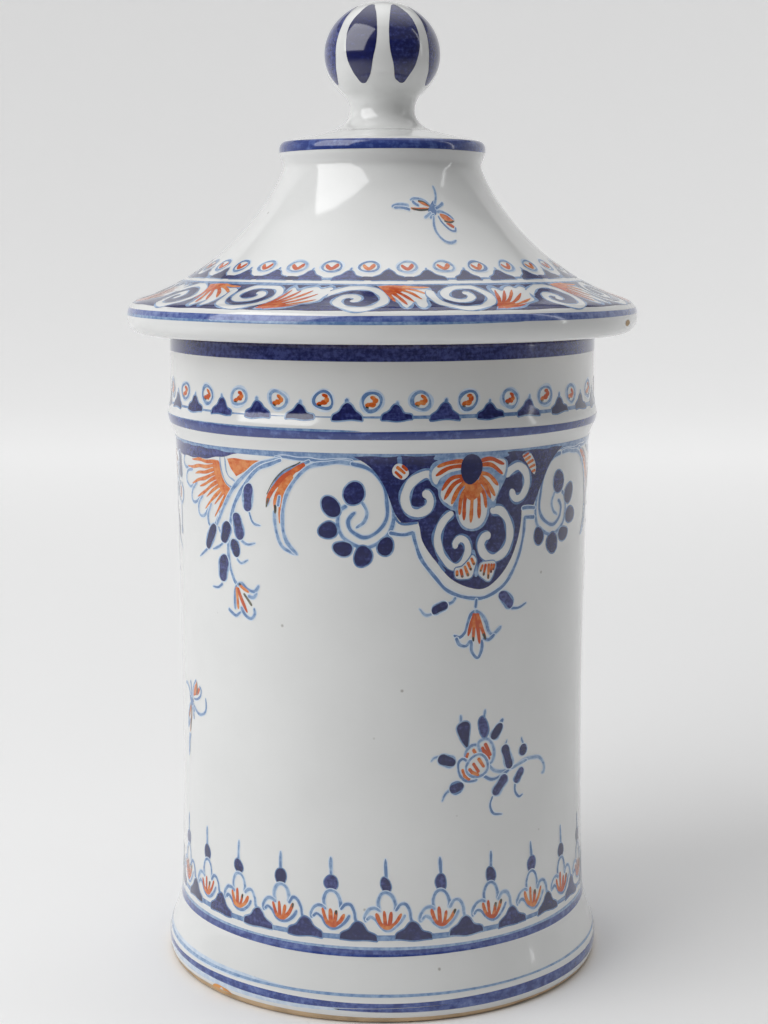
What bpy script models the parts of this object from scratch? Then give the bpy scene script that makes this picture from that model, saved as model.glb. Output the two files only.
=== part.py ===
"""Apothecary jar in tin-glazed earthenware, with its ball-topped lid.

Every member is a turned shape about the Z axis. The origin is the centre of the
foot's underside. The lid's members are drawn in heights above its seat, under an
empty that stands on the axis at the jar's rim, because the lid lifts off upwards.
Lengths are in metres; MM turns a figure in millimetres into metres.
"""
import math

import bpy
from mathutils import Vector
from mathutils.geometry import interpolate_bezier

MM = 0.001
SEGMENTS = 56            # facets round the axis, a multiple of four so the box is exact
SLIP_GAP = 0.3 * MM      # layer of slip between luted members, and lid on rim

# Jar, heights above the table
RIM_HEIGHT = 193.0 * MM
MOUTH_RADIUS = 58.4 * MM
COLLAR_RADIUS = 64.2 * MM
BEAD_RADIUS = 65.2 * MM
BEAD_HEIGHT = 168.8 * MM
SHOULDER_RADIUS = 62.9 * MM
SHOULDER_HEIGHT = 159.5 * MM
BELLY_PULL = 61.6 * MM       # handle radius that draws the waist in to about 62 mm
ANKLE_RADIUS = 63.1 * MM
ANKLE_HEIGHT = 20.0 * MM
FOOT_RADIUS = 67.2 * MM
FOOT_HEIGHT = 5.0 * MM       # height of the foot's widest point
WALL = 5.2 * MM
FLOOR_TOP = 9.0 * MM
FLOOR_FILLET = 6.0 * MM
FOOT_RING_OUTER = 65.2 * MM
FOOT_RING_INNER = 54.0 * MM
BASE_RECESS = 3.5 * MM
RIM_ROUND = 1.8 * MM

# Lid, heights above the plane of its seat
SEAT_HEIGHT = RIM_HEIGHT + SLIP_GAP
BRIM_RADIUS = 76.85 * MM
BRIM_MIDDLE = 4.4 * MM       # height of the brim's widest point
BRIM_TOP = 9.4 * MM
BRIM_BOTTOM = -0.6 * MM
CONE_FOOT_RADIUS = 73.4 * MM
CONE_TOP_RADIUS = 29.9 * MM
CONE_TOP = 47.6 * MM
LIP_RADIUS = 30.9 * MM
LIP_HEIGHT = 53.3 * MM
DISC_EDGE_RADIUS = 29.4 * MM
DISC_EDGE_HEIGHT = 55.8 * MM
DISC_TOP = 59.0 * MM
CAVITY_RADIUS = 52.8 * MM
CAVITY_TOP = 51.6 * MM
BORE_RADIUS = 5.0 * MM       # vent from the knob's hollow into the lid

FLANGE_RADIUS = 57.3 * MM
FLANGE_DEPTH = 11.8 * MM

KNOB_BASE_RADIUS = 15.5 * MM
KNOB_NECK_RADIUS = 9.3 * MM
KNOB_NECK_HEIGHT = 64.2 * MM
KNOB_CENTRE = 81.2 * MM
KNOB_RADIUS = 17.3 * MM
KNOB_HALF_HEIGHT = 15.5 * MM
KNOB_WALL = 4.8 * MM


def curve(start, handle_a, handle_b, end, steps):
    """Points of one Bezier stretch, without its last point, as (radius, height)."""
    points = interpolate_bezier(Vector(start), Vector(handle_a), Vector(handle_b), Vector(end), steps + 1)
    return [(p.x, p.y) for p in points[:-1]]


def arc(centre, radius, half_height, start, end, steps):
    """Points of an elliptical arc, both ends kept. Angles are from the axis, clockwise from up."""
    angles = [math.radians(start + (end - start) * i / steps) for i in range(steps + 1)]
    return [(centre[0] + radius * math.sin(a), centre[1] + half_height * math.cos(a)) for a in angles]


def jar_profile():
    """From the middle of the floor up the inside, over the rim and down the outside."""
    inner = SHOULDER_RADIUS - WALL
    waist = BELLY_PULL - WALL
    floor = [(0.0, FLOOR_TOP)]
    floor += arc((waist - FLOOR_FILLET, FLOOR_TOP + FLOOR_FILLET), FLOOR_FILLET, FLOOR_FILLET, 180, 90, 3)
    inside = curve((waist, 40 * MM), (waist, 90 * MM), (inner, 120 * MM), (inner, 160 * MM), 3)
    inside += [(inner, 160 * MM), (MOUTH_RADIUS, 168 * MM)]
    rim = arc((MOUTH_RADIUS + RIM_ROUND, RIM_HEIGHT - RIM_ROUND), RIM_ROUND, RIM_ROUND, -90, 0, 2)
    rim += arc((COLLAR_RADIUS - RIM_ROUND, RIM_HEIGHT - RIM_ROUND), RIM_ROUND, RIM_ROUND, 0, 90, 2)
    bead = curve((COLLAR_RADIUS, 175 * MM), (COLLAR_RADIUS, 172 * MM),
                 (BEAD_RADIUS, 171.2 * MM), (BEAD_RADIUS, BEAD_HEIGHT), 3)
    bead += curve((BEAD_RADIUS, BEAD_HEIGHT), (BEAD_RADIUS, 165.4 * MM),
                  (SHOULDER_RADIUS, 164.6 * MM), (SHOULDER_RADIUS, SHOULDER_HEIGHT), 4)
    belly = curve((SHOULDER_RADIUS, SHOULDER_HEIGHT), (BELLY_PULL + 0.4 * MM, 120 * MM),
                  (BELLY_PULL - 0.4 * MM, 60 * MM), (ANKLE_RADIUS, ANKLE_HEIGHT), 4)
    foot = curve((ANKLE_RADIUS, ANKLE_HEIGHT), (ANKLE_RADIUS, 15.5 * MM),
                 (65.2 * MM, 12.8 * MM), (66.2 * MM, 9.8 * MM), 3)
    foot += curve((66.2 * MM, 9.8 * MM), (66.8 * MM, 8.0 * MM),
                  (FOOT_RADIUS, 6.6 * MM), (FOOT_RADIUS, FOOT_HEIGHT), 2)
    foot += curve((FOOT_RADIUS, FOOT_HEIGHT), (FOOT_RADIUS, 2.2 * MM),
                  (66.8 * MM, 0.4 * MM), (FOOT_RING_OUTER, 0.0), 3)
    base = [(FOOT_RING_OUTER, 0.0), (FOOT_RING_INNER, 0.0),
            (FOOT_RING_INNER - 2 * MM, BASE_RECESS), (0.0, BASE_RECESS)]
    return floor + inside + rim + bead + belly + foot + base


def cover_profile():
    """Closed outline: over the disc, down the hollow cone to the brim and back inside."""
    disc = [(BORE_RADIUS + 0.5 * MM, DISC_TOP), (KNOB_BASE_RADIUS, DISC_TOP)]
    lip = curve((DISC_EDGE_RADIUS, DISC_EDGE_HEIGHT), (30.5 * MM, 55.4 * MM),
                (LIP_RADIUS, 54.5 * MM), (LIP_RADIUS, LIP_HEIGHT), 2)
    lip += curve((LIP_RADIUS, LIP_HEIGHT), (LIP_RADIUS, 50.6 * MM),
                 (29.2 * MM, 50.0 * MM), (CONE_TOP_RADIUS, CONE_TOP), 2)
    cone = curve((CONE_TOP_RADIUS, CONE_TOP), (33.7 * MM, 37.1 * MM),
                 (48.9 * MM, 16.8 * MM), (CONE_FOOT_RADIUS, BRIM_TOP), 8)
    brim = curve((CONE_FOOT_RADIUS, BRIM_TOP), (75.4 * MM, 8.7 * MM),
                 (BRIM_RADIUS, 7.0 * MM), (BRIM_RADIUS, BRIM_MIDDLE), 3)
    brim += curve((BRIM_RADIUS, BRIM_MIDDLE), (BRIM_RADIUS, 1.4 * MM),
                  (75.2 * MM, BRIM_BOTTOM), (72.6 * MM, BRIM_BOTTOM), 3)
    seat = [(72.6 * MM, BRIM_BOTTOM), (70.0 * MM, 0.0), (CAVITY_RADIUS, 0.0)]
    cavity = curve((CAVITY_RADIUS, 7.0 * MM), (CAVITY_RADIUS, 16.5 * MM),
                   (28.5 * MM, 32.0 * MM), (25.0 * MM, 46.0 * MM), 5)
    ceiling = [(25.0 * MM, 46.0 * MM), (21.0 * MM, CAVITY_TOP), (BORE_RADIUS + 0.5 * MM, CAVITY_TOP)]
    return disc + lip + cone + brim + seat + cavity + ceiling


def flange_profile():
    """Closed outline of the ring under the seat that keeps the lid centred in the mouth."""
    top = -SLIP_GAP
    outer = FLANGE_RADIUS
    inner = CAVITY_RADIUS
    round_end = arc(((outer + inner) / 2, -FLANGE_DEPTH + 2 * MM), (outer - inner) / 2, 2 * MM, 90, 270, 4)
    return [(outer, top)] + round_end + [(inner, top)]


def knob_profile():
    """From the ball's top down the outside to the foot, then up the bore and the hollow."""
    ball = arc((0.0, KNOB_CENTRE), KNOB_RADIUS, KNOB_HALF_HEIGHT, 0, 140, 9)
    foot = DISC_TOP + SLIP_GAP
    neck = curve(ball.pop(), (10.0 * MM, 67.9 * MM),
                 (KNOB_NECK_RADIUS, 66.4 * MM), (KNOB_NECK_RADIUS, KNOB_NECK_HEIGHT), 2)
    neck += curve((KNOB_NECK_RADIUS, KNOB_NECK_HEIGHT), (KNOB_NECK_RADIUS, 61.6 * MM),
                  (11.0 * MM, 60.1 * MM), (KNOB_BASE_RADIUS, foot), 4)
    base = [(KNOB_BASE_RADIUS, foot), (BORE_RADIUS, foot)]
    hollow = arc((0.0, KNOB_CENTRE), KNOB_RADIUS - KNOB_WALL, KNOB_HALF_HEIGHT - KNOB_WALL, 155, 0, 6)
    return ball + neck + base + hollow


def glaze_material(name, colour, roughness):
    material = bpy.data.materials.new(name)
    material.use_nodes = True
    shader = material.node_tree.nodes["Principled BSDF"]
    shader.inputs["Base Color"].default_value = (*colour, 1.0)
    shader.inputs["Roughness"].default_value = roughness
    shader.inputs["Metallic"].default_value = 0.0
    material.diffuse_color = (*colour, 1.0)
    return material


def turned(name, profile, closed, colour, roughness, collection, parent=None):
    """One member: its outline revolved about its own Z axis."""
    mesh = bpy.data.meshes.new(name)
    edges = [(i, i + 1) for i in range(len(profile) - 1)]
    if closed:
        edges.append((len(profile) - 1, 0))
    mesh.from_pydata([(radius, 0.0, height) for radius, height in profile], edges, [])
    member = bpy.data.objects.new(name, mesh)
    mesh.materials.append(glaze_material(name, colour, roughness))
    collection.objects.link(member)
    member.parent = parent
    screw = member.modifiers.new("turned", 'SCREW')
    screw.axis = 'Z'
    screw.angle = math.tau
    screw.steps = SEGMENTS
    screw.render_steps = SEGMENTS
    screw.use_merge_vertices = True
    screw.merge_threshold = 0.00001
    screw.use_smooth_shade = True
    return member


def main():
    for leftover in list(bpy.data.objects):
        bpy.data.objects.remove(leftover, do_unlink=True)
    collection = bpy.data.collections.new("apothecary_jar")
    bpy.context.scene.collection.children.link(collection)

    lid_seat = bpy.data.objects.new("lid_seat", None)
    lid_seat.location = (0.0, 0.0, SEAT_HEIGHT)
    collection.objects.link(lid_seat)

    turned("jar_body", jar_profile(), False, (0.80, 0.82, 0.83), 0.12, collection)
    turned("lid_cover", cover_profile(), True, (0.79, 0.81, 0.82), 0.12, collection, lid_seat)
    turned("lid_flange", flange_profile(), True, (0.74, 0.70, 0.62), 0.35, collection, lid_seat)
    turned("lid_knob", knob_profile(), False, (0.78, 0.80, 0.84), 0.12, collection, lid_seat)


main()
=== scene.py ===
"""Glazed and painted finish of the apothecary jar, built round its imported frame.

The frame's members are turned shapes about the Z axis. This file turns them again in fine
facets as glazed earthenware, and lays the painter's work on them: cobalt in three strengths
and iron orange. The frame is in metres. Outlines and brush shapes are drawn in millimetres,
and MM turns them into metres. Angles round the jar start at its painted front, -Y, and grow
to the right.
"""

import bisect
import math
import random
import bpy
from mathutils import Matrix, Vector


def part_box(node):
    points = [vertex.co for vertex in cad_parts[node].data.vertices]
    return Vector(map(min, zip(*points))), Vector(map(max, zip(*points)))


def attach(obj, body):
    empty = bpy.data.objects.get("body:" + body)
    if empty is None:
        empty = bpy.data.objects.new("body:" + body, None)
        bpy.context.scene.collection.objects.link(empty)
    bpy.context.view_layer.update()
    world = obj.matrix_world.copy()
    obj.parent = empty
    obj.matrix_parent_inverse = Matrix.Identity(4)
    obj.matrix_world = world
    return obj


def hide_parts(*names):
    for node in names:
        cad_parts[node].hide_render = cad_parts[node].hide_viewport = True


bl_info = {
    "name": "Apothecary Jar Finish",
    "version": (1, 0, 0),
    "blender": (4, 5, 0),
    "location": "View3D > Sidebar > Jar",
    "description": "Glaze, clay and brushwork for a lidded faience jar",
    "category": "Add Mesh",
}

import bpy
import numpy as np
from mathutils import Vector
from mathutils.geometry import delaunay_2d_cdt, interpolate_bezier

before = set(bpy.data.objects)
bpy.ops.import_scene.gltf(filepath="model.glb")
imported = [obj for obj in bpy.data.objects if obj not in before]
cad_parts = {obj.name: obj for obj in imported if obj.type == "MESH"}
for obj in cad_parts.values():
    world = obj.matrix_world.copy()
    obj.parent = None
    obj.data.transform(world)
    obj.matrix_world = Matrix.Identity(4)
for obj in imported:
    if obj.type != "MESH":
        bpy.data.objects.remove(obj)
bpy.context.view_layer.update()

MM = 0.001
ROUND_CORNER = 0.5523    # handle length that makes a Bezier stretch a quarter circle

# Driving dimensions in mm, read from the frame's members
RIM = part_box("jar_body")[1].z / MM
FOOT_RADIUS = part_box("jar_body")[1].x / MM
BRIM_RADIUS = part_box("lid_cover")[1].x / MM
BRIM_DROP = 0.6
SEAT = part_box("lid_cover")[0].z / MM + BRIM_DROP
DISC_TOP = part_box("lid_cover")[1].z / MM - SEAT
FLANGE_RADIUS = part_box("lid_flange")[1].x / MM
FLANGE_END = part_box("lid_flange")[0].z / MM - SEAT
KNOB_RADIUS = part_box("lid_knob")[1].x / MM
KNOB_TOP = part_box("lid_knob")[1].z / MM - SEAT
KNOB_HALF_HEIGHT = 15.5
KNOB_CENTRE = KNOB_TOP - KNOB_HALF_HEIGHT
SLIP_GAP = 0.3
RIM_ROUND = 1.8
COLLAR_RADIUS = 64.2
MOUTH_RADIUS = 58.4
SHOULDER = 159.5         # height where the belly starts under the bead
ANKLE = 20.0             # height where the foot starts to flare
CAVITY_RADIUS = 52.8

# The painter's division of each zone
LAMBREQUIN_ANGLE = 24.0  # degrees to the first lambrequin
LAMBREQUINS = 2          # with as many pairs of fans between them
DROP_SHIFT = 7.6         # mm by which the drop hangs left of the middle between two lambrequins
SPEAR_REPEATS = 25
RING_REPEATS = 30
LID_OVALS = 32
LID_SCROLLS = 14
KNOB_PETALS = 8


def linear(code):
    """An sRGB hex colour such as "#E8EAEC" as linear red, green and blue."""
    channels = [int(code[i:i + 2], 16) / 255 for i in (1, 3, 5)]
    return [c / 12.92 if c <= 0.04045 else ((c + 0.055) / 1.055) ** 2.4 for c in channels]


# ---------------------------------------------------------------- outlines


def run(start, end, steps=1):
    """A straight stretch of outline, in (radius, height)."""
    a, b = Vector(start), Vector(end)
    return [a.lerp(b, i / steps) for i in range(steps + 1)]


def bend(start, handle_a, handle_b, end, steps):
    """A Bezier stretch of outline."""
    points = interpolate_bezier(Vector(start), Vector(handle_a), Vector(handle_b), Vector(end), steps + 1)
    return [p.to_2d() for p in points]


def corner(start, apex, end, steps=6):
    """A quarter round from start to end, tangent to the lines that meet at apex."""
    a, m, b = Vector(start), Vector(apex), Vector(end)
    return bend(a, a.lerp(m, ROUND_CORNER), b.lerp(m, ROUND_CORNER), b, steps)


def arc(centre, radius, half_height, start, end, steps):
    """An elliptical stretch. Angles are from the axis, clockwise from up."""
    angles = [math.radians(start + (end - start) * i / steps) for i in range(steps + 1)]
    return [Vector((centre[0] + radius * math.sin(a), centre[1] + half_height * math.cos(a)))
            for a in angles]


def jar_outline():
    """Named stretches of the jar, from the middle of its floor over the rim to its base."""
    return [
        ("floor", run((0, 9), (50.4, 9), 6)),
        ("floor_corner", corner((50.4, 9), (56.4, 9), (56.4, 15))),
        ("inside", run((56.4, 15), (56.4, 40), 3)),
        ("inside_belly", bend((56.4, 40), (56.4, 90), (57.7, 120), (57.7, SHOULDER), 12)),
        ("inside_neck", run((57.7, SHOULDER), (MOUTH_RADIUS, 168), 2)),
        ("mouth", run((MOUTH_RADIUS, 168), (MOUTH_RADIUS, RIM - RIM_ROUND), 3)),
        ("rim_inner", corner((MOUTH_RADIUS, RIM - RIM_ROUND), (MOUTH_RADIUS, RIM),
                             (MOUTH_RADIUS + RIM_ROUND, RIM))),
        ("rim_top", run((MOUTH_RADIUS + RIM_ROUND, RIM), (COLLAR_RADIUS - RIM_ROUND, RIM))),
        ("rim_outer", corner((COLLAR_RADIUS - RIM_ROUND, RIM), (COLLAR_RADIUS, RIM),
                             (COLLAR_RADIUS, RIM - RIM_ROUND))),
        ("collar", run((COLLAR_RADIUS, RIM - RIM_ROUND), (COLLAR_RADIUS, 175), 5)),
        ("bead_top", bend((COLLAR_RADIUS, 175), (COLLAR_RADIUS, 172), (65.2, 171.2), (65.2, 168.8), 10)),
        ("bead_foot", bend((65.2, 168.8), (65.2, 165.4), (62.9, 164.6), (62.9, SHOULDER), 14)),
        ("belly", bend((62.9, SHOULDER), (62.0, 120), (61.2, 60), (63.1, ANKLE), 40)),
        ("ankle", bend((63.1, ANKLE), (63.5, 17.0), (65.1, 13.2), (66.2, 9.8), 12)),
        ("foot_top", bend((66.2, 9.8), (66.8, 8.0), (FOOT_RADIUS, 6.6), (FOOT_RADIUS, 5), 6)),
        ("foot", bend((FOOT_RADIUS, 5), (FOOT_RADIUS, 2.2), (66.8, 0.4), (65.2, 0), 8)),
        ("foot_ring", run((65.2, 0), (54, 0))),
        ("recess", corner((54, 0), (53.6, 3.5), (51.0, 3.5), 4)),
        ("base", run((51.0, 3.5), (0, 3.5), 6)),
    ]


def cover_outline():
    """Named stretches of the lid's cover, over the disc, down the cone and back up inside."""
    return raised([
        ("disc", run((5.5, DISC_TOP), (15.5, DISC_TOP), 3)),
        ("disc_slope", run((15.5, DISC_TOP), (29.4, 55.8), 4)),
        ("lip_top", bend((29.4, 55.8), (30.5, 55.4), (30.9, 54.5), (30.9, 53.3), 6)),
        ("lip", bend((30.9, 53.3), (30.9, 50.6), (29.2, 50.0), (29.9, 47.6), 10)),
        ("cone", bend((29.9, 47.6), (33.7, 37.1), (48.9, 16.8), (73.4, 9.4), 40)),
        ("brim_top", bend((73.4, 9.4), (75.4, 8.7), (BRIM_RADIUS, 7.0), (BRIM_RADIUS, 4.4), 8)),
        ("brim", bend((BRIM_RADIUS, 4.4), (BRIM_RADIUS, 1.4), (75.2, -BRIM_DROP), (72.6, -BRIM_DROP), 8)),
        ("brim_under", run((72.6, -BRIM_DROP), (70.0, 0.0), 2)),
        ("seat", run((70.0, 0.0), (CAVITY_RADIUS, 0.0), 2)),
        ("cavity_wall", run((CAVITY_RADIUS, 0.0), (CAVITY_RADIUS, 7.0), 2)),
        ("cavity", bend((CAVITY_RADIUS, 7.0), (CAVITY_RADIUS, 16.5), (28.5, 32.0), (25.0, 46.0), 20)),
        ("ceiling", corner((25.0, 46.0), (23.6, 51.6), (18.0, 51.6))),
        ("vent", run((18.0, 51.6), (5.5, 51.6), 3)),
        ("vent_wall", run((5.5, 51.6), (5.5, DISC_TOP), 2)),
    ])


def flange_outline():
    """Named stretches of the ring that keeps the lid centred in the mouth."""
    middle = (FLANGE_RADIUS + CAVITY_RADIUS) / 2
    half = (FLANGE_RADIUS - CAVITY_RADIUS) / 2
    return raised([
        ("outside", run((FLANGE_RADIUS, -SLIP_GAP), (FLANGE_RADIUS, FLANGE_END + 2), 3)),
        ("end", arc((middle, FLANGE_END + 2), half, 2.0, 90, 270, 12)),
        ("inside", run((CAVITY_RADIUS, FLANGE_END + 2), (CAVITY_RADIUS, -SLIP_GAP), 3)),
        ("joint", run((CAVITY_RADIUS, -SLIP_GAP), (FLANGE_RADIUS, -SLIP_GAP))),
    ])


def knob_outline():
    """Named stretches of the knob, from its top to its foot and up the bore to its hollow."""
    foot = DISC_TOP
    wall = 4.8
    return raised([
        ("ball", arc((0.0, KNOB_CENTRE), KNOB_RADIUS, KNOB_HALF_HEIGHT, 0, 140, 44)),
        ("nape", bend(arc((0.0, KNOB_CENTRE), KNOB_RADIUS, KNOB_HALF_HEIGHT, 140, 140, 1)[0],
                      (10.4, 68.2), (9.7, 67.0), (9.7, 65.2), 8)),
        ("neck", bend((9.7, 65.2), (9.7, 62.4), (11.6, 60.3), (15.5, foot), 14)),
        ("joint", run((15.5, foot), (5.0, foot), 2)),
        ("hollow", arc((0.0, KNOB_CENTRE), KNOB_RADIUS - wall, KNOB_HALF_HEIGHT - wall, 155, 0, 20)),
    ])


def raised(stretches):
    """The same stretches with their heights counted from the table, not from the lid's seat."""
    return [(name, [Vector((p.x, p.y + SEAT)) for p in points]) for name, points in stretches]


class Outline:
    """A turned outline that can be read by the distance down it, in mm."""

    def __init__(self, stretches):
        self.points = []
        self.distances = []
        self.starts = {}
        travelled = 0.0
        for name, points in stretches:
            for index, point in enumerate(points):
                if self.points and (point - self.points[-1]).length < 1e-4:
                    if index == 0:
                        self.starts[name] = travelled
                    continue
                if self.points:
                    travelled += (point - self.points[-1]).length
                if index == 0:
                    self.starts[name] = travelled
                self.points.append(point)
                self.distances.append(travelled)
        self.normals = [self.point_normal(i) for i in range(len(self.points))]

    def point_normal(self, index):
        """Outward direction at a point, to the left of the way the outline runs."""
        before = self.points[max(index - 1, 0)]
        after = self.points[min(index + 1, len(self.points) - 1)]
        way = (after - before).normalized()
        return Vector((-way.y, way.x))

    def at(self, distance):
        """Radius and height, and the outward direction, at a distance along the outline."""
        index = bisect.bisect_right(self.distances, distance) - 1
        index = min(max(index, 0), len(self.points) - 2)
        span = self.distances[index + 1] - self.distances[index]
        share = min(max((distance - self.distances[index]) / span, 0.0), 1.0)
        point = self.points[index].lerp(self.points[index + 1], share)
        normal = self.normals[index].lerp(self.normals[index + 1], share).normalized()
        return point, normal


JAR = Outline(jar_outline())
COVER = Outline(cover_outline())
FLANGE = Outline(flange_outline())
KNOB = Outline(knob_outline())


# ---------------------------------------------------------------- turning


def clear_selection():
    if bpy.context.object and bpy.context.object.mode != 'OBJECT':
        bpy.ops.object.mode_set(mode='OBJECT')
    bpy.ops.object.select_all(action='DESELECT')


def turned(name, outline, facets, material, body, node):
    """One member thrown on the wheel: a point is extruded along the outline, then spun."""
    clear_selection()
    start = outline.points[0]
    bpy.ops.mesh.primitive_plane_add(size=MM, location=(start.x * MM, 0.0, start.y * MM))
    piece = bpy.context.object
    piece.name = name
    piece.data.name = name
    bpy.ops.object.transform_apply(location=True, rotation=True, scale=True)
    bpy.ops.object.mode_set(mode='EDIT')
    bpy.ops.mesh.merge(type='CENTER')
    for before, after in zip(outline.points, outline.points[1:]):
        step = ((after.x - before.x) * MM, 0.0, (after.y - before.y) * MM)
        bpy.ops.mesh.extrude_vertices_move(TRANSFORM_OT_translate={"value": step})
    bpy.ops.mesh.select_all(action='SELECT')
    bpy.ops.mesh.remove_doubles(threshold=0.01 * MM)
    bpy.ops.mesh.spin(steps=facets, angle=math.tau, center=(0, 0, 0), axis=(0, 0, 1))
    bpy.ops.mesh.select_all(action='SELECT')
    bpy.ops.mesh.remove_doubles(threshold=0.01 * MM)
    bpy.ops.mesh.normals_make_consistent(inside=False)
    bpy.ops.object.mode_set(mode='OBJECT')
    bpy.ops.object.shade_smooth_by_angle(angle=math.radians(40))
    piece.data.materials.append(material)
    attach(piece, body)
    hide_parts(node)


# ---------------------------------------------------------------- brushwork

DARK, MID, PALE, WASH = "dark_cobalt", "cobalt", "pale_cobalt", "cobalt_wash"
ORANGE, OLIVE = "iron_orange", "olive"
CLAY, CHIP, BARE = "bare_clay", "chip", "bare"
BRUSH_STEP = 0.55        # mm between the points of a brushed edge
LATTICE = 2.3            # mm between the points that let a broad shape follow the jar's curve
BAND_ROW = 0.5           # mm between the rings of points in a band
BLEED = 0.28             # mm of faint wash beside a pale line
SOAK = 0.4               # mm of pale fringe where dark cobalt soaks into the raw glaze


def smooth(points, closed=False):
    """A flowing line through the given points. A point given twice is a sharp corner."""
    pts = [Vector(p) for p in points]
    corners = [i for i in range(1, len(pts)) if (pts[i] - pts[i - 1]).length < 1e-6]
    if closed and corners:
        first = corners[0]
        pts = pts[first:] + pts[:first]
        return broken(pts)
    if corners:
        return broken(pts)
    return flow(pts, closed)


def broken(pts):
    """Smooth runs between the doubled points."""
    runs, current = [], [pts[0]]
    for before, point in zip(pts, pts[1:]):
        if (point - before).length < 1e-6:
            runs.append(current)
            current = [point]
        else:
            current.append(point)
    runs.append(current)
    line = []
    for piece in runs:
        line += flow(piece, False) if len(piece) > 1 else piece
    return line


def flow(pts, closed):
    """Catmull-Rom line through the points, sampled every BRUSH_STEP."""
    count = len(pts)
    line = []
    for i in range(count if closed else count - 1):
        if closed:
            p0, p1, p2, p3 = (pts[(i + k) % count] for k in (-1, 0, 1, 2))
        else:
            p1, p2 = pts[i], pts[i + 1]
            p0 = pts[i - 1] if i else p1 * 2 - p2
            p3 = pts[i + 2] if i + 2 < count else p2 * 2 - p1
        steps = max(2, math.ceil((p2 - p1).length / BRUSH_STEP))
        for k in range(steps):
            t = k / steps
            line.append(((p1 * 2) + (p2 - p0) * t + (p0 * 2 - p1 * 5 + p2 * 4 - p3) * t * t
                         + (p1 * 3 - p0 - p2 * 3 + p3) * t ** 3) / 2)
    if not closed:
        line.append(pts[-1])
    return line


def grown(polygon, by):
    """The same outline moved outwards, run anticlockwise."""
    area = sum(a.x * b.y - b.x * a.y for a, b in zip(polygon, polygon[1:] + polygon[:1]))
    ring = polygon if area > 0 else polygon[::-1]
    result = []
    for i, point in enumerate(ring):
        way = ring[(i + 1) % len(ring)] - ring[i - 1]
        out = Vector((way.y, -way.x))
        result.append(point + out.normalized() * by if out.length > 1e-6 else point)
    return result


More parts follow.
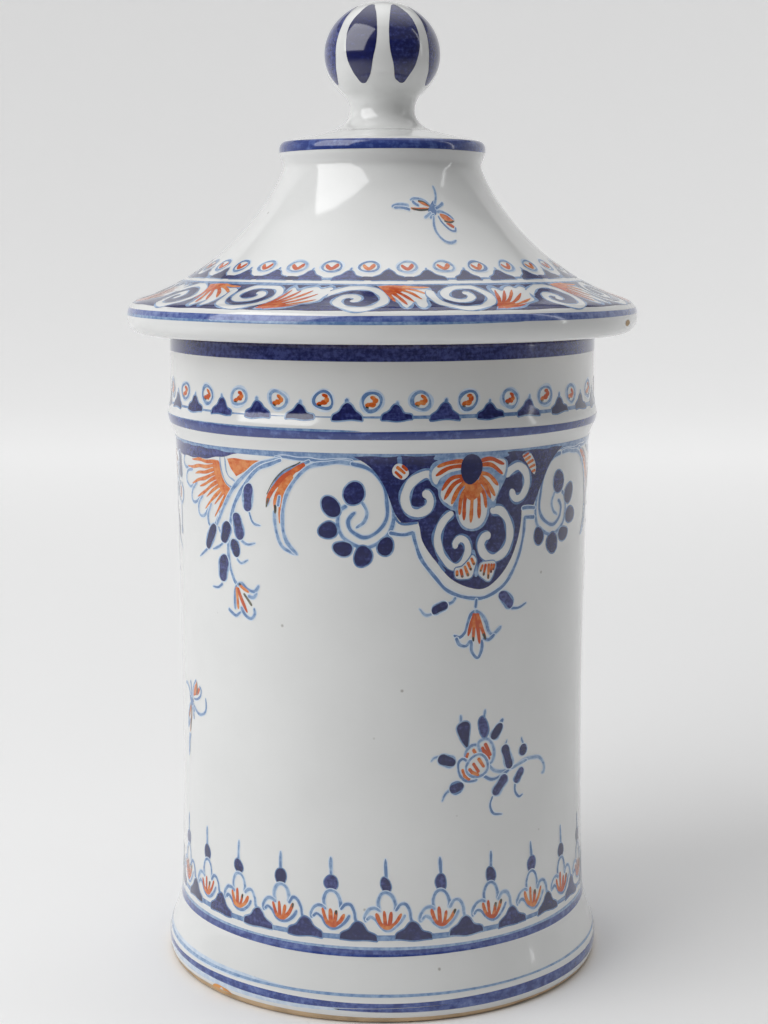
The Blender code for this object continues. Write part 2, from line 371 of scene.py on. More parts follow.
class Drawing:
    """Brush shapes in mm, x to the right and y down, each laid over those before it."""

    def __init__(self, seed=0):
        self.hand = random.Random(seed)
        self.shapes = []     # (pigment, load, polygon)
        self.load = None     # a fixed load for the next strokes, or None for a chance one

    def put(self, tone, polygon, soak=0.0):
        """Lays a shape, over a pale fringe where the pigment soaks into the glaze."""
        if soak:
            self.put(PALE, grown(polygon, soak))
        load = self.hand.random() if self.load is None else self.load
        self.shapes.append((tone, load, polygon))

    def blob(self, tone, *points, soak=0.0):
        """A filled shape with a flowing edge."""
        self.put(tone, smooth(points, closed=True), soak)

    def oval(self, tone, x, y, across, down, tilt=0.0, soak=0.0):
        """A dabbed dot, never quite even."""
        turn = math.radians(tilt)
        edge = []
        steps = max(10, round((across + down) * 3.2 / BRUSH_STEP))
        phase = self.hand.uniform(0, math.tau)
        for i in range(steps):
            a = math.tau * i / steps
            swell = 1 + 0.045 * math.sin(2 * a + phase) + 0.035 * math.sin(3 * a + 2 * phase)
            p = Vector((across * math.cos(a) * swell, down * math.sin(a) * swell))
            edge.append(Vector((x + p.x * math.cos(turn) - p.y * math.sin(turn),
                                y + p.x * math.sin(turn) + p.y * math.cos(turn))))
        self.put(tone, edge, soak)

    def line(self, tone, width, *points, lead=None, tail=None, closed=False, wash=True):
        """A brush stroke that swells over its lead, thins over its tail and wavers a little."""
        path = smooth(points, closed)
        if closed:
            path.append(path[0])
        lead = width / 2 if lead is None else lead
        tail = width / 2 if tail is None else tail
        path = path if closed else self.fine_ends(path)
        travelled = [0.0]
        for a, b in zip(path, path[1:]):
            travelled.append(travelled[-1] + (b - a).length)
        total = travelled[-1]
        phase = self.hand.uniform(0, math.tau)
        left, right = [], []
        for i, point in enumerate(path):
            before = path[i - 1] if i else (path[-2] if closed else point)
            after = path[i + 1] if i + 1 < len(path) else (path[1] if closed else point)
            way = (after - before).normalized()
            out = Vector((-way.y, way.x))
            half = width / 2 * (1 + 0.10 * math.sin(travelled[i] * 0.9 + phase))
            if not closed:
                half *= self.end_width(travelled[i], lead) * self.end_width(total - travelled[i], tail)
            left.append(point + out * half)
            right.append(point - out * half)
        stroke = left + right[::-1]
        if tone == PALE and wash:
            self.put(WASH, grown(stroke, BLEED))
        self.put(tone, stroke)

    @staticmethod
    def end_width(distance, length):
        """Share of the full width at a distance from a rounded end."""
        if length <= 0 or distance >= length:
            return 1.0
        return math.sqrt(max(1 - (1 - distance / length) ** 2, 0.0))

    @staticmethod
    def fine_ends(path):
        """Adds points in the two end steps, so that short round ends are round."""
        def split(a, b):
            return [a.lerp(b, share) for share in (0.0, 0.12, 0.35, 0.65)]
        start = split(path[0], path[1])
        end = split(path[-1], path[-2])[::-1]
        return start + path[1:-1] + end

    def scroll(self, width, *points, lead=None, tail=None):
        """A white ribbon reserved between two pale outlines."""
        self.line(PALE, width + 0.95, *points, lead=lead, tail=tail, wash=False)
        self.line(BARE, width, *points, lead=lead, tail=tail)

    def outlined(self, tone, width, *points):
        """A bare shape with a painted outline."""
        self.blob(BARE, *points)
        self.line(tone, width, *points, closed=True)

    def leaf(self, start, end, width, *tail, soak=SOAK):
        """A dark one-stroke leaf, with the thin tail that the brush leaves."""
        if tail:
            self.line(PALE, 0.7, *tail, tail=3.0)
        a, b = Vector(start), Vector(end)
        side = Vector((b.y - a.y, a.x - b.x)).normalized() * self.hand.uniform(-0.25, 0.25)
        path = [a, a.lerp(b, 0.5) + side, b]
        self.line(PALE, width + 2 * soak, *path, lead=width * 0.75, tail=width * 0.6)
        self.line(DARK, width, *path, lead=width * 0.75, tail=width * 0.6)

    def moved(self, dx=0.0, dy=0.0, turn=0.0, size=1.0, mirror=False):
        """A copy, turned and sized about its origin and then shifted."""
        copy = Drawing(self.hand.random())
        c, s = math.cos(math.radians(turn)) * size, math.sin(math.radians(turn)) * size
        sign = -1 if mirror else 1
        for tone, load, polygon in self.shapes:
            points = [Vector((sign * (p.x * c - p.y * s) + dx, p.x * s + p.y * c + dy)) for p in polygon]
            copy.shapes.append((tone, load, points))
        return copy

    def over(self, other):
        """Lays another drawing's shapes on this one."""
        self.shapes += other.shapes
        return self

    def mesh(self, left=None, right=None, lattice=LATTICE):
        """Points, and triangles with the pigment and load that lie uppermost on them."""
        points, edges = [], []
        for tone, load, polygon in self.shapes:
            first, count = len(points), len(polygon)
            edges += [(first + i, first + (i + 1) % count) for i in range(count)]
            points += polygon
        points += self.inner_points(points, lattice)
        found = delaunay_2d_cdt(points, edges, [], 0, 1e-4, False)
        middles = np.array([sum((found[0][i] for i in corners), Vector((0, 0))) / len(corners)
                            for corners in found[2]])
        uppermost = self.uppermost(middles)
        triangles = []
        for corners, middle, index in zip(found[2], middles, uppermost):
            if index < 0 or (left is not None and not left < middle[0] < right):
                continue
            tone, load, polygon = self.shapes[index]
            if tone != BARE:
                triangles.append((tone, load, corners))
        return found[0], triangles

    def uppermost(self, spots):
        """The index of the last shape laid over each spot, or -1. A shape covers what it winds round."""
        top = np.full(len(spots), -1)
        order = np.argsort(spots[:, 0])
        sorted_x = spots[order, 0]
        for index, (tone, load, polygon) in enumerate(self.shapes):
            ring = np.array(polygon)
            low, high = ring.min(0), ring.max(0)
            near = order[np.searchsorted(sorted_x, low[0]):np.searchsorted(sorted_x, high[0])]
            near = near[(spots[near, 1] > low[1]) & (spots[near, 1] < high[1])]
            if not len(near):
                continue
            x, y = spots[near, 0], spots[near, 1]
            after = np.roll(ring, -1, axis=0)
            above = ring[:, 1, None] > y
            crossing = above != (after[:, 1, None] > y)
            rise = np.where(after[:, 1] == ring[:, 1], 1.0, after[:, 1] - ring[:, 1])
            run = (after[:, 0] - ring[:, 0])[:, None]
            meets = ring[:, 0, None] + run * (y - ring[:, 1, None]) / rise[:, None]
            turns = np.where(crossing & (x < meets), np.where(above, 1, -1), 0).sum(0)
            top[near[turns != 0]] = index
        return top

    @staticmethod
    def inner_points(points, pitch):
        """Staggered inner points over the drawing's extent."""
        low = Vector((min(p.x for p in points), min(p.y for p in points)))
        high = Vector((max(p.x for p in points), max(p.y for p in points)))
        rows = int((high.y - low.y) / pitch)
        columns = int((high.x - low.x) / pitch)
        return [Vector((low.x + (i + 0.5 * (j % 2) + 0.27) * pitch, low.y + (j + 0.41) * pitch))
                for j in range(rows + 1) for i in range(columns + 1)]


class Zone:
    """A painted part of a turned surface. x runs round it in mm at one radius, y down from a start."""

    def __init__(self, outline, start, radius):
        self.outline = outline
        self.start = start
        self.radius = radius

    def degrees(self, angle):
        """The x of an angle."""
        return math.radians(angle) * self.radius

    def place(self, x, y, lift):
        """Where a painted point lies, and the direction it faces, in metres."""
        turn = x / self.radius
        point, normal = self.outline.at(self.start + y)
        radius, height = point.x + normal.x * lift, point.y + normal.y * lift
        around = Vector((math.sin(turn), -math.cos(turn)))
        return (Vector((around.x * radius, around.y * radius, height)) * MM,
                Vector((around.x * normal.x, around.y * normal.x, normal.y)))


class Painting:
    """Everything painted on one zone, gathered into one open sheet for each pigment."""

    def __init__(self, name, zone, body, slot, lift, seed, sway=0.22):
        self.name, self.zone, self.body, self.slot = name, zone, body, slot
        self.lift = lift
        self.layers = {}
        hand = random.Random(seed)
        self.waves = [(hand.choice((9, 14, 23, 31, 47)), hand.uniform(0.05, 0.35),
                       hand.uniform(0, math.tau), hand.uniform(0.4, 1.0) * sway, hand.random() < 0.5)
                      for _ in range(7)]

    def sway(self, x, y):
        """The painter's unsteady hand: a slow drift that closes on itself round the jar."""
        dx = dy = 0.0
        for count, climb, phase, reach, sideways in self.waves:
            drift = reach * math.sin(count * x / self.zone.radius + climb * y + phase)
            if sideways:
                dx += drift
            else:
                dy += drift * 0.6
        return x + dx, y + dy, 1.0

    def lay(self, drawing, at=0.0, left=None, right=None, lattice=LATTICE):
        """Lays a drawing with its origin at x = at."""
        points, triangles = drawing.mesh(left, right, lattice)
        known = {}
        for tone, load, corners in triangles:
            vertices, faces = self.layers.setdefault(tone, ([], []))
            for index in corners:
                if (tone, index) not in known:
                    known[tone, index] = len(vertices)
                    vertices.append(self.sway(at + points[index].x, points[index].y))
            faces.append((load, [known[tone, index] for index in corners]))

    def band(self, tone, top, bottom, waver=0.25, seed=1, begin=0.0, end=360.0, load=0.5, level=0.7):
        """A band laid on the turning wheel, its two edges wavering. Ends that don't meet taper."""
        hand = random.Random(seed)
        phases = [(hand.choice((1, 2, 3, 5)), hand.uniform(0, math.tau)) for _ in range(4)]
        vertices, faces = self.layers.setdefault(tone, ([], []))
        rows = max(1, math.ceil((bottom - top) / BAND_ROW))
        columns = max(8, round((end - begin) / 1.5))
        whole = end - begin > 359.9
        first = len(vertices)
        for i in range(columns + 1):
            angle = math.radians(begin + (end - begin) * i / columns)
            x = angle * self.zone.radius
            upper, lower = (waver * sum(math.sin(n * angle + p + k) for n, p in phases) / 2.5
                            for k in (0, 2))
            fade = 1.0
            if not whole:
                share = i / columns
                fade = min(1.0, 8 * share, 8 * (1 - share)) ** 0.5
            middle = (top + bottom + upper + lower) / 2
            half = (bottom - top + lower - upper) / 2 * fade
            for j in range(rows + 1):
                vertices.append((x, middle + half * (2 * j / rows - 1), level))
        for i in range(columns):
            for j in range(rows):
                a = first + i * (rows + 1) + j
                faces.append((load, [a, a + 1, a + rows + 2, a + rows + 1]))

    def finish(self, materials):
        """Makes one sheet for each pigment, facing out, with brush coordinates and pigment load."""
        for tone, (spots, faces) in self.layers.items():
            name = f"{self.name}_{tone}"
            placed = [self.zone.place(x, y, self.lift / MM * level) for x, y, level in spots]
            oriented = []
            for load, corners in faces:
                a, b, c = (placed[i][0] for i in corners[:3])
                facing = (b - a).cross(c - a).dot(placed[corners[0]][1])
                oriented.append(corners if facing > 0 else corners[::-1])
            mesh = bpy.data.meshes.new(name)
            mesh.from_pydata([p for p, n in placed], [], oriented)
            mesh.materials.append(materials[tone])
            loads = mesh.attributes.new("load", 'FLOAT', 'FACE')
            loads.data.foreach_set("value", [load for load, corners in faces])
            brush = mesh.uv_layers.new(name="brush")
            for loop in mesh.loops:
                x, y, level = spots[loop.vertex_index]
                brush.data[loop.index].uv = (x * MM, y * MM)
            mesh.polygons.foreach_set("use_smooth", [True] * len(mesh.polygons))
            mesh.normals_split_custom_set_from_vertices([n for p, n in placed])
            sheet = bpy.data.objects.new(name, mesh)
            bpy.context.scene.collection.objects.link(sheet)
            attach(sheet, self.body)


# ---------------------------------------------------------------- the painter's motifs

BELLY_READING = 62.5     # radius in mm at which the belly's motifs are drawn to size
LID_READING = 63.0       # the same for the lid, whose motifs narrow towards its top


def palmette(d):
    """Five white petals striped orange round a dark eye."""
    d.blob(PALE, (-4, -1.6), (-9, -1.4), (-12.4, -0.2), (-13.5, 2.5), (-12.7, 5.6), (-10.7, 6.9),
           (-10.3, 9), (-9.2, 11.1), (-7.1, 13), (-5.9, 13.4), (-5.4, 15.4), (-3.4, 18.3), (0.1, 19.4),
           (2.9, 18.1), (4.6, 15), (5, 13), (6.6, 12.8), (7, 10.6), (8.3, 8), (9.9, 5.4), (10.7, 2.5),
           (10.4, 0), (7.5, -1.6), (3, -1.7))
    petals = [
        [(-3.5, -0.9), (-8, -0.7), (-11.3, 0.5), (-12.7, 2.5), (-12.2, 4.9), (-11, 5.6), (-10, 3.9),
         (-7.5, 2.6), (-4, 1.9)],
        [(-3.3, 3.2), (-6.5, 3.9), (-8.8, 5.7), (-9.8, 8), (-9.3, 9.9), (-8, 11.2), (-6.7, 12.1),
         (-6, 10.5), (-5, 7.6), (-3, 5)],
        [(2.5, -1), (6, -1.1), (9.3, -0.5), (10.1, 1), (9.8, 3.4), (9.1, 4.3), (8, 2.9), (5.5, 1.7),
         (2.6, 1.4)],
        [(2.2, 2.9), (4.6, 3.2), (6.9, 5), (7.9, 7), (7.4, 9), (6, 11.2), (5, 10), (3.8, 7.2), (1.8, 5)],
        [(-1.9, 5.4), (-4.2, 8.4), (-5.1, 12.5), (-4.4, 16), (-2.2, 18.2), (0.3, 18.7), (2.6, 17.3),
         (4, 14.4), (4.1, 11), (3, 7.6), (1, 5.4)],
    ]
    for petal in petals:
        d.blob(BARE, *petal)
    stripes = [
        [(-3.6, -0.3), (-8, -0.3), (-11.2, 0.8)], [(-3.6, 1), (-8, 1.3), (-11.5, 3.3)],
        [(-3, 3.7), (-7, 4.4), (-9.5, 7.4)], [(-3, 4.3), (-6.3, 6.2), (-8.8, 10)],
        [(-2.8, 5), (-5, 7.6), (-6.9, 11.5)],
        [(2, -0.4), (6, -0.7), (9.6, 1)], [(2, 0.8), (6, 1.1), (9.1, 3.8)],
        [(1.8, 3.1), (5, 3.9), (7.6, 6.8)], [(1.8, 4), (4.5, 6.2), (6.6, 9.7)],
        [(1.6, 4.7), (3.8, 7.2), (5.3, 10.4)],
        [(-1.7, 6), (-4, 9.5), (-4.6, 14.4)], [(-1.2, 6), (-2.9, 10), (-3.1, 16)],
        [(-0.4, 6), (-0.6, 11), (-0.8, 17)],
        [(0.3, 6), (1.6, 10), (1.7, 16)], [(0.8, 6), (3.2, 9), (3.8, 13)],
    ]
    for stripe in stripes:
        d.line(ORANGE, 1.15, *stripe, lead=0.1, tail=2.5)
    d.blob(ORANGE, (-2.4, 5.0), (-3.1, 8.4), (-0.4, 10.6), (2.4, 8.4), (1.4, 5.0))
    d.oval(DARK, -0.9, 1.7, 3.5, 4.0)


def small_fan(d, edge, stripes):
    """A wedge of short orange stripes with scorched tips."""
    d.blob(BARE, *edge, soak=0.35)
    for start, end in stripes:
        a, b = Vector(start), Vector(end)
        d.line(ORANGE, 0.85, a, b)
        d.line(OLIVE, 0.6, a.lerp(b, 0.7), b, tail=0.6)


def bellflower(d, cup, lobes, strokes, scorched):
    """A hanging bell: outlined lobes with orange strokes fanned inside."""
    for line in cup + lobes:
        d.line(PALE, 0.85, *line, tail=1.2)
    for stroke in strokes:
        d.line(ORANGE, 1.05, *stroke, lead=0.3, tail=2.0)
    for start, end in scorched:
        d.line(OLIVE, 0.8, start, end, lead=0.4, tail=0.8)


def lambrequin():
    """The main pendant: a dark shield with reserved scrolls, a palmette and a bellflower."""
    d = Drawing(11)
    d.blob(DARK, (-33.8, -2.3), (-33.8, -2.3), (-31, -0.6), (-28, 2.5), (-25.5, 6.5), (-23.8, 10.5),
           (-22.3, 14), (-20.8, 16), (-20.8, 16), (-16.2, 16.1), (-16.2, 16.1), (-15.6, 18), (-15, 21),
           (-13, 25), (-11, 28), (-8.5, 30.8), (-5, 33.3), (-1, 35.3), (2.2, 35.9), (5.5, 35.1), (8.5, 33),
           (11, 30.2), (13.2, 26.6), (15, 22), (15.9, 17.5), (16, 14), (16, 14), (20.4, 14), (20.4, 14),
           (22, 11), (24, 7.5), (27, 3.2), (30.5, 0), (34, -2.3), (34, -2.3))
    d.line(PALE, 0.7, (-22.6, 14.4), (-20.9, 16.3), (-16.2, 16.4), wash=False)
    d.blob(PALE, (-12, -2.4), (-12, -2.4), (-10.5, -0.9), (9.4, -0.9), (10.5, -2.4), (10.5, -2.4))
    d.scroll(2.3, (-11.6, 5.2), (-12.6, 3.4), (-15, 2.9), (-18.3, 4.9), (-19.9, 8.8), (-19, 12.3),
             (-16.3, 13.7), (-13.5, 12.5), (-12.7, 10.2), (-13.8, 8.5), (-15.2, 8.8))
    d.scroll(2.2, (9.6, 4.6), (12, 2.9), (14.8, 1.9), (17.3, 3.6), (17.9, 7.2), (16.3, 10.3), (14, 10.9),
             (12.6, 9.6), (13, 8.3))
    d.scroll(1.9, (-6.5, 13.6), (-9.3, 16.2), (-10.9, 20.3), (-10.2, 24.8), (-7.8, 28), (-5.2, 29),
             (-2.9, 27.7), (-1.6, 24.6), (-2.3, 22), (-4.3, 21.1), (-5.7, 22.6), (-5, 23.6))
    d.scroll(2.3, (5, 13.6), (8.3, 14.1), (11.3, 17.3), (12, 21.8), (10.3, 25.7), (6.8, 27.5), (3.5, 26.2),
             (2.2, 23.3), (3.3, 21), (5.3, 20.6))
    palmette(d)
    d.line(PALE, 0.9, (-0.2, 24.5), (0.7, 28), (0.9, 32.4), wash=False)
    d.line(PALE, 0.8, (-10.8, 27.3), (-9.8, 29), (-8.6, 30.2), wash=False)
    small_fan(d, [(-5.4, 29.5), (-3.4, 29), (-1.5, 27.4), (-0.3, 26), (0.9, 27.5), (0.4, 29.6),
                  (-0.6, 32.3), (-3, 32.6), (-5.1, 32)],
              [((-4.8, 29.9), (-4.7, 31.7)), ((-3.7, 29.6), (-3.1, 32.2)), ((-2.6, 28.8), (-1.4, 32)),
               ((-1.7, 27.8), (-0.6, 30.4)), ((-0.7, 26.7), (0.3, 28.9))])
    small_fan(d, [(1.5, 30.5), (2.4, 28.5), (5, 28.2), (7.1, 28.6), (7, 31.1), (5.4, 33.7), (3.4, 33),
                  (1.9, 31.9)],
              [((3, 28.9), (2.2, 31)), ((4, 28.8), (3.3, 32.2)), ((5, 28.8), (5, 33.2)),
               ((6, 28.9), (5.9, 31.6)), ((6.9, 29), (6.6, 30.9))])
    bud = [(-23.6, 1.3), (-22.6, 0), (-20.9, 0), (-19.3, 1.2), (-18.9, 2.6), (-20.3, 4.2), (-22, 3.9),
           (-23.3, 2.8)]
    d.line(PALE, 1.3, (-21.6, -2.3), (-21.3, 0.4), wash=False)
    d.blob(BARE, *bud)
    for start, end in (((-22.4, 0.7), (-19.8, 2.6)), ((-22.8, 2), (-20.7, 3.9)),
                       ((-20.8, 0.4), (-19.2, 1.7))):
        d.line(ORANGE, 0.85, start, end)
    d.blob(BARE, (16.1, -1), (17.4, -2), (19, -1.6), (20.6, 0.6), (21.3, 3.2), (20.6, 4.9), (19.2, 3.4),
           (17.8, 1.2))
    for start, end in [((16.3, -0.6), (18.6, -1.5)), ((17, 0.4), (19.4, -0.4)), ((18, 1.5), (20.4, 0.7)),
                       ((18.8, 2.8), (21, 2.1)), ((19.6, 4.1), (21.1, 3.6))]:
        d.line(ORANGE, 0.8, start, end)
    d.line(PALE, 0.95, (-24, 19), (-20.5, 19.4), (-17.6, 19.1), (-17.6, 19.1), (-16.8, 22), (-15.5, 26),
           (-13.5, 29.5), (-11, 32.5), (-8, 35.3), (-4, 37.3), (0, 38.4), (4, 38.2), (8, 36.8), (11, 34.5),
           (13.5, 31), (15.5, 27), (16.8, 22), (17.2, 17), (17.2, 17), (21.5, 16.9))
    d.line(PALE, 0.9, (16.1, 14.2), (21.5, 14.3))
    d.line(PALE, 0.7, (-5, 37.6), (-6, 39), (-7.8, 39.7))
    d.leaf((-7.2, 39.6), (-12.2, 41.4), 2.7, (-11.5, 41.8), (-14.2, 42.1), (-16.2, 40.4))
    d.leaf((8.6, 37.6), (13.3, 42), 2.9, (13, 42.4), (16, 42.7), (19, 41.4))
    d.line(PALE, 0.7, (1.3, 38.5), (1, 41.2))
    bellflower(d,
               [[(1, 41.9), (-0.5, 43), (-1.5, 45.5), (-2.3, 48), (-4, 49.2), (-5.7, 48.2)],
                [(1, 41.9), (3, 43), (4.3, 45.5), (5, 48.3), (6.5, 49.4), (9.3, 47.2)]],
               [[(-5, 49), (-4, 51.3), (-2, 52), (-0.4, 50.6), (-0.2, 53.5), (1.5, 55.4), (2.8, 53),
                 (2.9, 50.3)],
                [(3.3, 50), (5, 50.8), (7, 49.4)]],
               [[(0.7, 42.6), (-0.3, 45.5), (-1.3, 49.2)], [(1, 42.6), (0.6, 46.5), (0.3, 50.5)],
                [(1.3, 42.6), (1.8, 47), (2.2, 51.5)], [(1.6, 42.6), (2.8, 46.5), (4, 50.4)]],
               [((0.35, 49.3), (0.3, 50.7)), ((3.3, 48.6), (4.1, 50.6))])
    return d


def dotted_scroll():
    """The snail scroll with a crown of dabbed dots at the lambrequin's left shoulder."""
    d = Drawing(23)
    d.line(PALE, 0.95, (-34.6, -0.4), (-31.5, 0.4), (-28.4, 2.4), (-26, 5.6), (-24.9, 10), (-24.7, 14.8),
           (-27, 18.3), (-31.4, 20.2), (-34.9, 18.6), (-35.8, 16), (-34.9, 14.2), (-33.8, 13.3), tail=1.0)
    d.line(PALE, 0.9, (-26.6, 2.6), (-24.5, 6.2), (-23.1, 11.2), (-22.9, 15.8), (-24.5, 19.8),
           (-28.5, 22.5), (-33, 22.8), (-37, 20.5), (-38.6, 17), (-38, 13), (-36, 11.2))
    d.line(PALE, 0.85, (-32, 10.6), (-30.7, 13.4), (-31.5, 16), (-33.8, 17.8), tail=1.0)
    dots = [(-34, 7.9, 2.7, 3.3, 0), (-40.5, 11.9, 2.4, 3.2, -28), (-41.5, 18.5, 2.7, 2.4, 0),
            (-37.3, 23.5, 2.6, 2.1, 12), (-31.3, 25.5, 2.8, 2.9, 0), (-25, 22.8, 2.0, 2.6, 25)]
    for x, y, across, down, tilt in dots:
        d.oval(DARK, x, y, across, down, tilt, soak=0.4)
    return d


def festoon(end, spread):
    """Between pendants: the horn leaf, the willowy stem with its bellflower, and the orange half fan."""
    d = Drawing(37)
    half_fan(d, end, spread)
    outer = [(-55, -0.9), (-62, 0.8), (-67, 3.8), (-71, 7.5), (-75, 12.5), (-78, 17), (-80, 20)]
    inner = [(-55, -0.4), (-62, 2), (-67, 6), (-71, 11.5), (-73, 16), (-74, 20)]
    d.blob(BARE, *outer, *inner[::-1])
    d.line(PALE, 0.8, (-34, -1), (-38, -1), (-44, -0.9), (-50, -1.2), (-57, -1.4), tail=6)
    d.line(PALE, 0.9, (-46, -0.5), (-52, 1.5), (-56, 4.5), (-58.5, 8.5), (-59.8, 12.5), tail=2)
    d.line(PALE, 0.9, (-57.5, 14), (-57, 19), (-55, 23.5), (-51, 25.8), tail=1)
    d.blob(ORANGE, (-47.6, 0.3), (-50, 0.5), (-53.5, 3), (-56.5, 6.2), (-55.5, 7.6), (-53.9, 6.2),
           (-51.7, 3.8), (-49.5, 1.5))
    for stroke in ([(-47.5, 0.4), (-52, 2.6), (-56, 6), (-58.9, 9.5), (-60.1, 12.9)],
                   [(-51.5, 3.5), (-55, 7), (-57, 11), (-57.2, 14.6)],
                   [(-52, 4.5), (-54.5, 8.5), (-55.3, 12), (-55.7, 17.4)]):
        d.line(ORANGE, 1.5, *stroke, lead=0.6, tail=8)
    d.line(OLIVE, 0.7, (-59.3, 10.3), (-60.1, 13), tail=1)
    d.line(OLIVE, 0.8, (-57.1, 12.2), (-57.2, 14.8), tail=1)
    d.line(OLIVE, 0.35, (-49, -0.4), (-53.9, 2.2), (-57.6, 5.7), (-59.8, 9.3))
    d.line(PALE, 0.8, (-55.7, 9.6), (-56.3, 12.6))
    d.line(PALE, 1.0, (-34, -0.4), (-40, -0.4), (-45, 0.5), (-49.5, 3.4), (-53, 8), (-54.5, 13),
           (-54.6, 18), (-53.5, 22), (-50.5, 25.9), tail=1.5)
    d.line(PALE, 1.0, *outer, tail=1)
    d.line(PALE, 1.05, *inner, (-75, 26), (-74.6, 31), (-72.8, 35), (-71, 36.6), tail=1)
    d.leaf((-66.4, 6.7), (-66.9, 15), 3.1, (-66.4, 15), (-64.8, 17.8), (-62, 18.3))
    d.leaf((-71.7, 15.6), (-69.7, 23.2), 3.1, (-69.6, 23.3), (-67, 24.3), (-64, 23.6))
    d.leaf((-74.9, 18.6), (-77, 24.9), 3.1, (-77, 25), (-79, 26.3), (-82, 27.4))
    d.leaf((-73.2, 23.4), (-71.2, 28.3), 2.9, (-71.5, 28.7), (-69.5, 29.9), (-66.8, 28.8))
    d.leaf((-76.4, 28.3), (-77.8, 36.1), 3.3, (-78, 36.8), (-80, 38.1), (-82.5, 38.4))
    d.leaf((-80.6, 20), (-85.2, 27.5), 3.0, (-85, 27.6), (-87.5, 29), (-90, 30.5))
    bellflower(d,
               [[(-71.5, 36.4), (-72.4, 38.5), (-72.6, 41.2), (-72.5, 43.5)],
                [(-71.5, 36.4), (-69.5, 35.9), (-67.5, 37.3), (-65, 37.6), (-63.2, 35.6)]],
               [[(-75.5, 44), (-73.5, 44.9), (-72, 45.2), (-70.2, 44)],
                [(-70.2, 42.6), (-68.5, 45), (-66.3, 45.6), (-64.9, 44), (-65.2, 42.3)],
                [(-67.5, 39.2), (-65.5, 39.4), (-64, 37.8)]],
               [[(-71.6, 37), (-71.5, 40), (-71.2, 43.4)], [(-71.2, 37.2), (-69.8, 40.5), (-67.8, 44.2)],
                [(-70.5, 36.2), (-69, 37.2), (-67, 38.2)]],
               [((-69, 38.6), (-66, 41.9)), ((-70.8, 36.1), (-69.8, 36.2))])
    return d


def half_fan(d, end, spread):
    """A fan of orange rays, wide by spread, tipped with lobes. The dark ground over it stops at end."""
    apex = Vector((-69.5, 1.5))
    d.load = 0.1

    def towards(degrees, across=1.0):
        angle = math.radians(degrees)
        return Vector((across * math.cos(angle), math.sin(angle)))

    for i in range(6):
        along = towards(176 - 13.5 * i)
        side = Vector((-along.y, along.x))
        tip = apex + towards(176 - 13.5 * i, spread) * (25.5 - 0.9 * i)
        d.line(PALE, 0.85, tip - along * 5.5 - side * 2.3, tip - along * 1.3 - side * 2.1,
               tip + along * 0.6, tip - along * 1.3 + side * 2.1, tip - along * 5.5 + side * 2.3)
    for i in range(12):
        along = towards(178 - 6.4 * i)
        reach = (23.4 if i % 2 else 20.0) - 0.5 * i
        tip = apex + Vector((along.x * spread, along.y)) * reach
        d.line(ORANGE, 1.05, apex + along * 8.6, tip, lead=0.1, tail=9)
    root, edge = ([apex + towards(178 - 15 * k) * reach for k in range(6)] for reach in (8.4, 11.6))
    d.blob(ORANGE, root[0], root[0], *root[1:-1], root[-1], root[-1], edge[-1], edge[-1], *edge[-2:0:-1],
           edge[0], edge[0])
    d.scroll(1.7, (-76.6, -0.6), (-76.1, 3.6), (-74.2, 6.6), (-71, 8))
    d.blob(ORANGE, (-74.3, 0.4), (-74.3, 0.4), (-68, 0.1), (-62, 0.2), (-62, 0.2), (-66.5, 2.6),
           (-70.8, 5.2), (-70.8, 5.2), (-73, 3))
    d.load = None
    d.blob(DARK, (-70, -1.2), (-70, -1.2), (-78, 0.2), (-88, 1.5), (-end, 1.7), (-end, 1.7), (-end, -1.9),
           (-end, -1.9), (-80, -1.8))


def whole_lambrequin():
    """The lambrequin with its two snail scrolls, festoons and half fans, and the drop at its left end."""
    d = Drawing(3)
    half = math.pi / LAMBREQUINS * BELLY_READING
    for mirror, end, spread in ((False, half + DROP_SHIFT, 1.2), (True, half - DROP_SHIFT, 0.75)):
        d.over(festoon(end + 0.1, spread).moved(mirror=mirror))
        d.over(dotted_scroll().moved(dx=-1.2 if mirror else 0.0, mirror=mirror))
    d.over(fan_pendant().moved(dx=-half - DROP_SHIFT))
    return d.over(lambrequin())


def fan_pendant():
    """The drop between two half fans: a slender dark leaf over a pale bud on a thread."""
    d = Drawing(41)
    d.leaf((-0.9, 1.2), (0.9, 9.2), 2.8)
    for side in (-1, 1):
        d.line(PALE, 0.75, (1.0 * side, 10.6), (3.2 * side, 12.4), (2.8 * side, 15.4), (0.3 * side, 17),
               tail=0.8)
    d.line(ORANGE, 0.9, (0, 11.8), (0.2, 15.2), tail=1.4)
    d.line(PALE, 0.7, (0, 17.2), (0.2, 20), (-0.2, 23.6), tail=1.5)
    d.oval(PALE, -0.2, 24.8, 1.0, 1.5)
    return d


